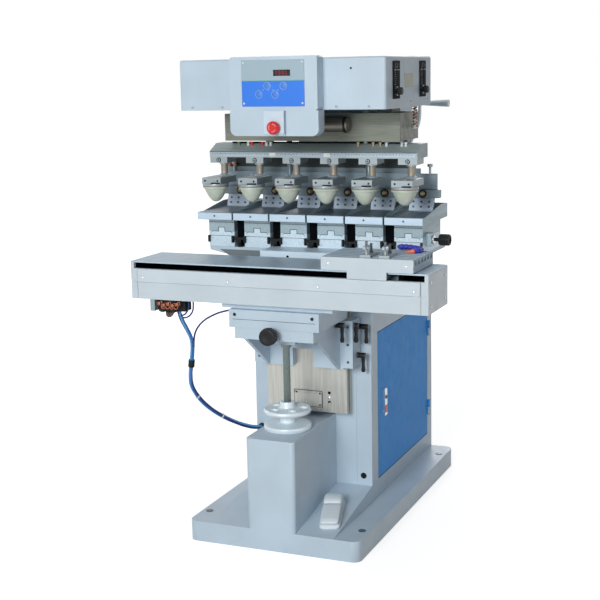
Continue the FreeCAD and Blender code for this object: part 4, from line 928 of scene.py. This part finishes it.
def dress_blades():
    """Blade plates and their screws lie on the holders' sloping fronts."""
    low, high = edges_of("blade_holders")
    run, rise = 14, high[2] - low[2]
    turn = Matrix.Rotation(math.atan2(rise, run), 4, "X")
    y, z = low[1] + run / 2 - 0.4, middle_of(low, high, 2) + 0.6
    plates, heads = Shape(), Shape()
    for x in STATIONS:
        plates.block((x - 43, y - 21, z - 0.7), (x + 43, y + 21, z + 0.7), turn)
        for offset, share in product((-28, 0, 28), (0.34, 0.72)):
            spot = (x + offset, low[1] + run * share - 1.0, low[2] + rise * share)
            heads.screw(spot, radius=3.8, height=2.6, turn=turn)
    plates.done("blade_plates", "doctor", "bright_plate", "bright_steel", soften=0.4)
    heads.done("blade_screws", "doctor", "dark_steel", "ground_steel")


# ---------------------------------------------------------------- trays, table and shuttle

DECK_FACE = edges_of("station_bases")[0][1]
JOINT_OUTLINE = ((-42, 998), (-36, 1004), (-12.5, 1004), (-12.5, 1018.5),
                 (12.5, 1018.5), (12.5, 1004), (36, 1004), (42, 998))


def dress_stations():
    face = DECK_FACE - 0.3
    joints = Shape()
    for x in STATIONS:
        for (ax, az), (bx, bz) in zip(JOINT_OUTLINE, JOINT_OUTLINE[1:]):
            if ax != bx and az != bz:
                mid_x, mid_z = x + (ax + bx) / 2, (az + bz) / 2
                joints.block((mid_x - 4.2, face, mid_z - 0.7), (mid_x + 4.2, face + 0.8, mid_z + 0.7),
                             Matrix.Rotation(-math.atan2(bz - az, bx - ax), 4, "Y"))
            else:
                joints.block((x + min(ax, bx) - 0.8, face, min(az, bz) - 0.8),
                             (x + max(ax, bx) + 0.8, face + 0.8, max(az, bz) + 0.8))
        joints.block((x - 50, face, 988), (x + 50, face + 0.8, 989.2))
    joints.done("station_joint_lines", FIXED, "void", "black_plastic")
    for number, x in enumerate(STATIONS, start=1):
        dress_tray(number, x)


def dress_tray(number, x):
    body = "tray_%d" % number
    low, high = edges_of("station_%d" % number)
    rim = high[2] - 22.8
    screws = Shape().screw((x, low[1] - 0.5, high[2] - 34), "-y", 3.4, 1.6)
    for side in (-59, 59):
        screws.screw((x + side, low[1] + 22, rim + 0.1), "z", 3.6, 1.0)
    screws.done("tray_screws_%d" % number, body, "dark_steel", "bright_steel")
    # The cliché plate is etched steel, and its dark grey is partly its own and partly a painted dark
    # reflection.
    plate = Shape().block((x - 65, low[1] + 4, rim), (x + 65, high[1] - 92, rim + 1))
    plate.done("cliche_plate_%d" % number, body, "etched", "tray_aluminium", soften=0.3)
    # A lighter plate on each tray's front is a painted highlight, so that the front looks lighter than the
    # top.
    front = Shape().block((x - 66, low[1] - 0.5, rim - 24.2), (x + 66, low[1] + 0.5, rim - 0.8))
    front.done("tray_front_%d" % number, body, "tray_face", "tray_aluminium", soften=0.4)
    line = Shape().block((x - 50.2, DECK_FACE - 0.4, rim - 40.2), (x + 50.2, DECK_FACE + 0.2, rim - 38.8))
    line.done("tray_slide_line_%d" % number, body, "void", "tray_aluminium")
    ink = Shape().block((x - 57, high[1] - 86, rim - 11.6), (x + 57, high[1] - 10, rim - 6.7))
    ink.done("ink_pool_%d" % number, body, "ink", "black_plastic")


def dress_deck():
    """The clips between the stations, the painted shade in the gaps between them, and the fascia's holes, its
    painted shadow at the left end and its lip.
    """
    low, high = edges_of("station_bases")
    face, foot = low[1], low[2]
    clips, gap_shades = Shape(), Shape()
    for x in GAPS:
        clips.block((x - 25, face - 7, foot + 26), (x + 25, face, foot + 35))
        for side in (-27, 20):
            clips.block((x + side, face - 11, foot + 16), (x + side + 7, face, foot + 40))
        clips.lathe((x, face - 7, foot + 12), ((0, 6), (4, 6), (6, 4), (6, 0)), "-y", 14)
        clips.block((x - 7, face - 5, foot + 0.5), (x + 7, face, foot + 28))
        # Dark sheets in the gaps between the stations are painted shade.
        gap_shades.block((x - 19.3, face + 27, foot + 0.2), (x + 19.3, face + 29, foot + 100.5))
    for x in (low[0], high[0] - 6):
        clips.block((x, face - 11, foot + 16), (x + 6, face, foot + 40))
    clips.done("station_clips", FIXED, "black", "black_plastic", soften=0.8)
    gap_shades.done("station_gap_screens", FIXED, "void", "black_plastic")

    low, high = edges_of("deck_fascia")
    holes = Shape()
    for x in (low[0] + 103, high[0] - 35):
        holes.lathe((x, low[1], high[2] - 18), ((0, 0.2), (3.4, 0.2), (4.4, 1.0), (4.6, 0)), "-y", 18)
    holes.done("deck_front_holes", FIXED, "void", "black_plastic")
    side, top, foot = low[0] - 1, high[2] - 18, high[2] - 40
    # A flat dark grey sheet at the fascia's left end is a painted shadow.
    flat_shadow = Shape().prism_xz(((side - 206, top), (side, top), (side, foot), (side - 167, foot)),
                              DECK_FACE - 0.6, DECK_FACE + 0.2)
    flat_shadow.done("deck_recess_shadow", FIXED, "recess_grey", "body_paint")
    lip = Shape().block((low[0], low[1] - 0.6, high[2] - 2), (high[0], low[1] + 2, high[2] + 0.4))
    lip.done("fascia_lip", FIXED, "edge_grey", "table_paint", soften=0.4)


def dress_station_gear():
    """The flange and the knurled knob that adjust the last station."""
    low, high = edges_of("knob_bracket")
    y, z = middle_of(low, high, 1), middle_of(low, high, 2)
    flange = Shape().lathe((high[0], y, z), ((6.6, 0), (13, 0), (14, 2), (14, 6), (12, 8), (6.6, 8)), "x", 28)
    for dz, dy in product((-16, 16), (-11, 11)):
        flange.screw((high[0], y + dy, z + dz), "x", 3.2, 2.4)
    flange.done("bracket_flange", FIXED, "bright", "bright_steel")
    end = edges_of("station_knob")[1][0]
    knurl = knurled((end - 33, y, z), "x", 20, 17.9, ((0, 0), (1.7, 0.5), (1.7, 29), (0.8, 30), (0, 30)))
    knurl.lathe((end, y, z), ((0, -0.4), (10, -0.4), (11, 0.5), (15, 0.6), (17, 0)), "x", 28)
    knurl.done("station_knob_grip", "tray_knob", "black", "black_plastic")


def dress_table():
    low, high = edges_of("table_channel")
    seams, shade_sheets, heads, ends, sockets = Shape(), Shape(), Shape(), Shape(), Shape()
    for x in (low[0] + 24, high[0] - 24):
        seams.block((x - 0.5, low[1] + 2.3, low[2] + 0.5), (x + 0.5, low[1] + 3.2, high[2] - 21))
    seams.done("table_end_seams", "table", "void", "table_paint")
    # Dark sheets just inside the channel's back, floor, ends and cover: painted shade inside the channel.
    left, right, foot = low[0] + 13, high[0] - 13, low[2] + 13
    front, back = low[1] + 14, high[1] - 14
    shade_sheets.block((left, back + 0.8, foot), (right, back + 1.6, high[2] - 1))
    shade_sheets.block((left, front, foot - 0.7), (right, back, foot))
    shade_sheets.block((left - 0.6, front, foot), (left + 0.2, back, high[2] - 1))
    shade_sheets.block((right - 0.2, front, foot), (right + 0.6, back, high[2] - 1))
    shade_sheets.block((left, front, high[2] - 0.9), (right, back, high[2] - 0.1))
    shade_sheets.done("channel_shade", "table", "void", "black_plastic")
    cover = Shape().block((low[0] + 26, low[1] - 1.1, low[2] + 58.6),
                          (high[0] - 26, low[1] + 0.2, high[2] - 21))
    cover.done("front_cover_strip", "table", "cover_grey", "table_paint", soften=0.5)
    for share in (-0.456, -0.152, 0.152, 0.456):
        heads.dome(((high[0] - low[0]) * share, low[1] - 2.4, high[2] - 51), "-y", 4.6, 2.0)
    heads.done("cover_strip_screws", "table", "bright", "bright_steel")
    for (x, way), z, y in product(((high[0], "x"), (low[0], "-x")), (25, 100), (30, 180)):
        ends.screw((x, low[1] + y, low[2] + z), way, 4.6, 2.4)
    ends.done("table_end_screws", "table", "bright", "bright_steel")

    low, high = edges_of("cross_slide")
    socket = ((0, 0.5), (3, 0.5), (3.2, 1.2), (5.9, 1.2), (6.1, 0))
    for x in (-137, 137):
        sockets.lathe((x, low[1] - 0.1, high[2] - 33), socket, "-y", 6)
    sockets.done("slide_screw_sockets", "table", "black_gloss", "black_plastic")
    line = Shape().block((low[0] + 50, low[1] + 2.6, low[2] + 27.2),
                         (high[0] - 50, low[1] + 3.2, low[2] + 28.4))
    line.done("slide_plate_line", "table", "void", "black_plastic")


def dress_shuttle():
    low, high = edges_of("fixture_clamps")
    nuts, bolts, rivets = Shape(), Shape(), Shape()
    screw_y, stud_y = low[1] + 20, low[1] + 64
    for x in (low[0] + 17, high[0] - 17):
        nuts.lathe((x, screw_y, high[2] - 6.0), ((4.05, 0), (9, 0.6), (9, 5.4), (4.05, 6)), "z", 6)
        nuts.lathe((x, screw_y, high[2] - 8), ((4.05, 0), (10.5, 0), (10.5, 1.8), (4.05, 1.8)), "z", 24)
        bolts.lathe((x, screw_y, high[2]), ((4, 0), (4, 13), (3, 14.5), (0, 14.5)), "z", 14)
        bolts.lathe((x, stud_y, low[2] + 27), ((0, 0), (6, 0), (6, 8), (4, 9), (4, 30), (0, 31)), "z", 14)
    nuts.done("clamp_nuts", "shuttle", "bright", "bright_steel")
    bolts.done("clamp_studs", "shuttle", "dark_steel", "ground_steel")
    low, high = edges_of("shuttle_apron")
    for x in (low[0] + 24, high[0] - 24):
        rivets.dome((x, low[1], high[2] - 20), "-y", 3.6, 1.6)
    rivets.done("apron_rivets", "shuttle", "bright", "bright_steel")


def dress_air_line():
    """Ball-jointed segments with an orange nozzle, held by a steel bracket on the table's back edge."""
    low, high = edges_of("air_nozzle")
    right, back, foot = high[0], high[1], low[2]
    bracket = Shape()
    bracket.block((right - 30, back - 15, foot), (right, back - 11, foot + 46))
    bracket.block((right - 30, back - 15, foot), (right, back - 3, foot + 4))
    bracket.block((right - 82, back - 15, foot + 40), (right - 6, back - 11, foot + 54))
    for x in (right - 22, right - 8):
        bracket.screw((x, back - 15, foot + 26), "-y", 3.6, 2.4)
    bracket.done("air_line_bracket", "table", "steel", "ground_steel", soften=0.6, stands_for=("air_nozzle",))
    level = foot + 55
    path = ((366, -304, level), (382, -305, level + 1), (398, -307, level + 1), (414, -310, level),
            (430, -314, level - 1), (445, -323, level - 2), (452, -338, level - 3), (447, -353, level - 4),
            (436, -362, level - 4))
    links = Shape()
    for a, b in zip(path, path[1:]):
        run = Vector(b) - Vector(a)
        long = run.length
        links.lathe(a, ((0, -3), (4.5, -3), (7, 0), (7.6, 3), (8.6, long * 0.55), (8.8, long * 0.8),
                        (8, long - 1), (0, long - 1)), sides=18, turn=turn_to(run))
    links.lathe(path[0], ((0, 0), (6, 0), (6, 12), (0, 12)), "y", 16)
    links.done("air_line_links", "table", "link_blue", "hose_blue", angle=30)
    nozzle = ((0, -2), (6, -2), (7.6, 2), (7.2, 6), (4.6, 14), (3.4, 27), (2, 27.4), (0, 26))
    tip = Shape().lathe(path[-1], nozzle, sides=18, turn=turn_to((-20, -5, -2)))
    tip.done("air_line_nozzle", "table", "orange", "panel_film")


# ---------------------------------------------------------------- knee, way and cabinet

LEVER_HANDLE = ((0, 0), (5, 1), (7.2, 5), (7.4, 10), (6.0, 20), (5.6, 30), (6.6, 46))
THREAD_PITCH, THREAD_RADIUS = 5, 11.6


def dress_knee():
    low, high = edges_of("knee_gibs")
    screws = Shape()
    for x, z in product((low[0] + 17, high[0] - 17), (low[2] + 22, middle_of(low, high, 2), high[2] - 22)):
        screws.screw((x, low[1], z), "-y", 4.4, 2.4)
    for z in (30, 76, 122):
        screws.screw((low[0], low[1] + 40, low[2] + z), "-x", 5.0, 3.0)
    screws.done("gib_screws", "knee", "dark_steel", "bright_steel")

    for lever in LEVERS:
        low, high = edges_of(lever + "_lever")
        y = middle_of(low, high, 1)
        z = high[2] - 9
        cap = Shape().lathe((high[0], y, z), ((0, 1.5), (3, 1.5), (3.4, 0.6), (6.4, 0.6), (7.4, 0)), "x", 20)
        cap.lathe((low[0] + 0.1, y, z), ((9.2, 0), (10.4, 0.6), (10.4, 4), (9.2, 5)), "x", 24)
        cap.done(lever + "_lever_cap", lever + "_clamp", "dark_steel", "bright_steel")
        handle = Shape().lathe((high[0] - 8, y, low[2] - 1), LEVER_HANDLE, "z", 20)
        handle.done(lever + "_lever_handle", lever + "_clamp", "black", "black_plastic", angle=60)

    low, high = edges_of("cross_knob")
    z = middle_of(low, high, 2)
    flutes = knurled((0, low[1] + 3, z), "y", 24, 26.8, ((0, 0), (2.2, 0.6), (2.2, 21), (1.2, 22), (0, 22)))
    flutes.lathe((0, low[1], z), ((0, 0.2), (15, 0.2), (16.5, 1.1), (23, 1.0), (26, 0)), "-y", 32)
    flutes.done("cross_knob_grip", "feed_knob", "black", "black_plastic")

    low, high = edges_of("lift_screw")
    turns = int((high[2] - low[2] - 60) / THREAD_PITCH)
    helix = [Vector((c, middle_of(low, high, 1) + s, low[2] + 30 + i * THREAD_PITCH / 12)) * MM
             for i, (c, s) in enumerate(circle(turns * 12 + 1, THREAD_RADIUS, step=math.pi / 6))]
    Shape().tube(helix, 0.9 * MM, 4).done("screw_thread", "knee", "thread_steel", "ground_steel", angle=60)


def dress_way():
    low, high = edges_of("way_slab")
    front = high[1] - 52
    x0, x1, z0, z1 = -47, 57, low[2] + 16, low[2] + 73
    line = 1.4
    details, marks = Shape(), Shape()
    for a0, b0, a1, b1 in ((x0, z0, x1, z0 + line), (x0, z1, x1, z1 + line),
                           (x0, z0, x0 + line, z1), (x1, z0, x1 + line, z1)):
        details.block((a0, front - 3.4, b0), (a1, front - 2.6, b1))
    details.block((-49, front - 0.3, 564), (-42, front + 0.2, 622))
    for z in (36, 70):
        details.lathe((83, front, low[2] + z), ((0, 0.3), (4.4, 0.3), (5, 1), (5.4, 0)), "-y", 18)
    for x, z in product((x0 + 8, x1 - 8), (z0 + 8, z1 - 8)):
        details.dome((x, front - 3, z), "-y", 3.2, 1.4)
    details.done("way_holes", FIXED, "void", "black_plastic")
    Shape().dome((83, front, low[2] + 53), "-y", 6.4, 3.0).done("way_pin", FIXED, "bright", "bright_steel")
    left = high[0] - 20
    for i in range(41):
        z = low[2] + 230 + i * 5
        reach = LONG_MARK if i % 5 == 0 else SHORT_MARK
        marks.block((left, front - 0.25, z), (left + reach, front + 0.1, z + 0.6))
    marks.done("way_scale", FIXED, "dark_steel", "way_steel")


# The cabinet's side wall, the back edge of its doorway, the door's foot and height as its hinges see
# them, and how far the seal's strips reach round the doorway.
DOOR_FACE, DOOR_BACK, DOOR_FOOT, DOOR_HEIGHT = 219, 483, 134, 531
SEAL_NEAR, SEAL_FAR, SEAL_END = 0.6, 3.2, 3


def dress_door():
    low, high = edges_of("door_latch")
    mark = Shape().block((high[0] - 0.2, low[1] + 3, low[2] + 12), (high[0] + 1.6, high[1] - 3, low[2] + 38))
    mark.done("latch_lock_mark", "latch", "red", "red_plastic", soften=0.5)
    key = Shape().lathe((high[0], middle_of(low, high, 1), low[2] + 68),
                        ((0, 0.4), (3, 0.4), (3.2, 2), (6.6, 2), (7.4, 0)), "x", 22)
    key.done("latch_lock", "latch", "dark_steel", "bright_steel")

    low, high = edges_of("side_door")
    y0, y1, z0, z1 = low[1] + 1, DOOR_BACK, low[2], high[2]
    seal = Shape()
    for a0, b0, a1, b1 in ((y0 - SEAL_FAR, z0 - SEAL_FAR, y1 + SEAL_FAR, z0 - SEAL_NEAR),
                           (y0 - SEAL_FAR, z1 + SEAL_NEAR, y1 + SEAL_FAR, z1 + SEAL_FAR),
                           (y0 - SEAL_FAR, z0 - SEAL_END, y0 - SEAL_NEAR, z1 + SEAL_END),
                           (y1 + SEAL_NEAR, z0 - SEAL_END, y1 + SEAL_FAR, z1 + SEAL_END)):
        seal.block((DOOR_FACE - 1.95, a0, b0), (DOOR_FACE - 0.55, a1, b1))
    seal.done("door_seal", FIXED, "void", "black_plastic")
    for part, body, y, lift in (("frame", FIXED, 505, 0), ("door", "door", 469, 30.3)):
        screws = Shape()
        for level, dz in product((0.15, 0.75), (8, 22)):
            screws.dome((DOOR_FACE + 2, y, DOOR_FOOT + DOOR_HEIGHT * level + lift + dz), "x", 2.6, 1.2)
        screws.done("hinge_screws_" + part, body, "dark_steel", "bright_steel")


def dress_cabinet():
    left, front, foot = edges_of("cabinet_shell")[0]
    plug = Shape().lathe((left + 406, front, foot + 92),
                         ((0, 0.4), (6, 0.4), (7.4, 1.8), (10, 1.6), (11, 0)), "-y", 24)
    plug.done("cabinet_plug", FIXED, "black", "black_plastic")
    gland = Shape().lathe((left + 20, front, foot + 235),
                          ((8.4, 0), (13, 0), (13, 4), (11, 9), (8.6, 9.6)), "-y", 26)
    gland.done("hose_gland", FIXED, "black", "black_plastic")
    vents, washers = Shape(), Shape()
    for z in range(640, 766, 14):
        vents.lathe((left, 230, z), ((0, 1.6), (2.4, 1.5), (2.6, 0)), "-x", 10)
        vents.block((left - 0.8, 150, z - 2), (left, 350, z + 2))
    vents.done("cabinet_vents", FIXED, "void", "black_plastic", soften=0.4)
    for x, y in product((-280, 280), (-440, 440)):
        washers.lathe((x, y, foot), ((9.6, 0), (13, 0), (13, 1.2), (12, 2), (9.6, 2)), "z", 28)
    washers.done("anchor_washers", FIXED, "dark_steel", "bright_steel")


# The pedal's place: across, along, and how far up the ramp that is; and its turn in degrees.
RAMP_RISE, RAMP_RUN, RAMP_FOOT = 58, 379, 70
PEDAL_PLACE, PEDAL_TURN = (158, -395, 150), 15


def dress_pedal():
    """The foot pedal's rounded base and hood, and its ribbed treadle."""
    slope = math.atan2(RAMP_RISE, RAMP_RUN)
    x, y, up_ramp = PEDAL_PLACE
    level = RAMP_FOOT + math.tan(slope) * up_ramp + 0.3
    matrix = (Matrix.Translation(Vector((x, y, level)) * MM) @ Matrix.Rotation(slope, 4, "X")
              @ Matrix.Rotation(math.radians(PEDAL_TURN), 4, "Z"))
    base = ((-95, 26, 0, 7), (-92, 32, 0, 11), (-80, 35, 0, 12), (80, 35, 0, 12), (92, 32, 0, 11),
            (95, 27, 0, 8))
    hood = ((19, 28, 10, 36), (24, 30.5, 10, 42), (40, 31, 10, 45.5), (62, 31, 10, 45), (80, 30, 10, 41),
            (89, 27, 10, 34), (93, 21, 10, 24))
    cover = ((-93, 24, 18.6, 23), (-90, 29, 18, 26), (-70, 31, 18, 30), (-35, 31.5, 17, 34),
             (0, 31.5, 15, 37), (13, 30.5, 14, 37), (17, 28, 16, 33))
    rib = ((-2, 22, -0.2), (-1, 23, 0.7), (1, 23, 0.9), (2, 22, 0.3))
    looks = ("pedal_grey", "pedal_plastic")
    shell = Shape().loft(base, matrix).loft(hood, matrix)
    shell.done("pedal_shell", FIXED, *looks, angle=50, stands_for=("pedal_base",))
    treadle = Shape().loft(cover, matrix)
    treadle.done("treadle_cover", "treadle", *looks, angle=50, stands_for=("pedal_treadle",))
    ribs = Shape()
    for y in range(-78, -6, 12):
        lift = 29.3 + (y + 70) * 0.105
        ribs.loft([(y + side, half, lift - 2, lift + crest) for side, half, crest in rib], matrix, 16)
    ribs.done("treadle_ribs", "treadle", *looks, angle=50)


CRANK_AXIS = (405, 1284)
COIL_PLACE, COIL_RADIUS, COIL_PITCH, COIL_TURNS = (338, -40), 6, 10.4, 6


def dress_crank():
    """The flange that the crank turns in, on the column's side."""
    rim = ((7, 0), (19, 0), (20, 1), (20, 6), (17, 8), (7, 8))
    flange = Shape().lathe((edges_of("column")[1][0], *CRANK_AXIS), rim, "x", 32)
    flange.done("crank_flange", FIXED, "dark_steel", "ground_steel")


def dress_coil():
    """A coiled air tube hangs on its post beside the beam's end."""
    x, y = COIL_PLACE
    foot = edges_of("head_housing")[0][2]
    coil = Shape()
    for first in range(COIL_TURNS):
        coil.tube([Vector((x + c, y + s, foot - 68 + (first + i / 14) * COIL_PITCH)) * MM
                   for i, (c, s) in enumerate(circle(15, COIL_RADIUS, step=math.pi / 7))], 2.6 * MM, 8)
    coil.done("signal_coil", FIXED, "copper", "brass", angle=60)
    post = Shape().lathe((x, y, foot - 76), ((0, 0), (3.4, 0), (3.4, 75), (0, 75)), "z", 12)
    for level in (-76, -50, -20, -4):
        post.lathe((x, y, foot + level), ((0, 0), (8, 0), (8.6, 1), (8.6, 3), (8, 4), (0, 4)), "z", 16)
    post.done("coil_post", FIXED, "white", "ground_steel")


def dress_valves():
    """The valve group under the table: a bracket, dark bodies, copper elbows and a round silencer."""
    low, high = edges_of("valve_block")
    left, front, foot, top = low[0], low[1], low[2], high[2]
    bracket = Shape().block((left, front - 2, foot + 8), (left + 17, high[1] - 6, top))
    bracket.done("valve_bracket", "table", "holder_metal", "table_paint", soften=0.8)
    bodies, copper, lobe = Shape(), Shape(), Shape()
    for i, x in enumerate((left + 19, left + 40, left + 61)):
        bodies.block((x, front + 20, foot + 4 + 3 * (i % 2)), (x + 20, high[1] - 4, top))
        bodies.block((x + 3, front + 24, foot), (x + 17, front + 52, foot + 6))
    bodies.block((left + 64, front + 40, foot + 2.4), (high[0] - 2, high[1] - 8, top))
    bodies.done("valve_bodies", "table", "black", "black_plastic", soften=1.2, stands_for=("valve_block",))
    elbow = ((0, 0), (7, 0), (7, 5), (5, 6), (5, 11), (6.4, 12), (6.4, 18), (4, 19), (0, 19))
    for i in range(5):
        copper.lathe((left + 30 + i * 17, front + 20, top - 14 - 5 * (i % 2)), elbow, "-y", 16)
    for i in range(4):
        x = left + 40 + i * 16
        copper.tube([Vector((x - 8 * c, front + 16, top - 20 - 13 * s)) * MM
                     for c, s in circle(9, 1, step=math.pi / 8)], 2.3 * MM, 8)
    copper.done("valve_fittings", "table", "copper", "brass", angle=50)
    disc = ((0, -7), (14, -7), (19, -3), (20, 0), (19, 3), (14, 6), (6, 7), (0, 7))
    turn = Matrix.Rotation(math.radians(62), 4, "X") @ Matrix.Rotation(math.radians(-20), 4, "Y")
    lobe.lathe((left + 50, front + 44, foot - 1.3), disc, sides=28, turn=turn)
    lobe.lathe((left + 50, front + 44, foot - 4.3), ((0, 0), (7, 0), (7, 12), (0, 12)), "z", 18)
    lobe.done("valve_silencer", "table", "brown", "black_plastic")


make_camera()
make_hoses()
dress_nodes()
dress_control_box()
dress_head()
dress_carriage()
dress_pad_beam()
dress_hangers()
dress_pads()
dress_doctor()
dress_blades()
dress_stations()
dress_deck()
dress_station_gear()
dress_table()
dress_shuttle()
dress_air_line()
dress_knee()
dress_way()
dress_door()
dress_cabinet()
dress_pedal()
dress_crank()
dress_coil()
dress_valves()
make_stage()
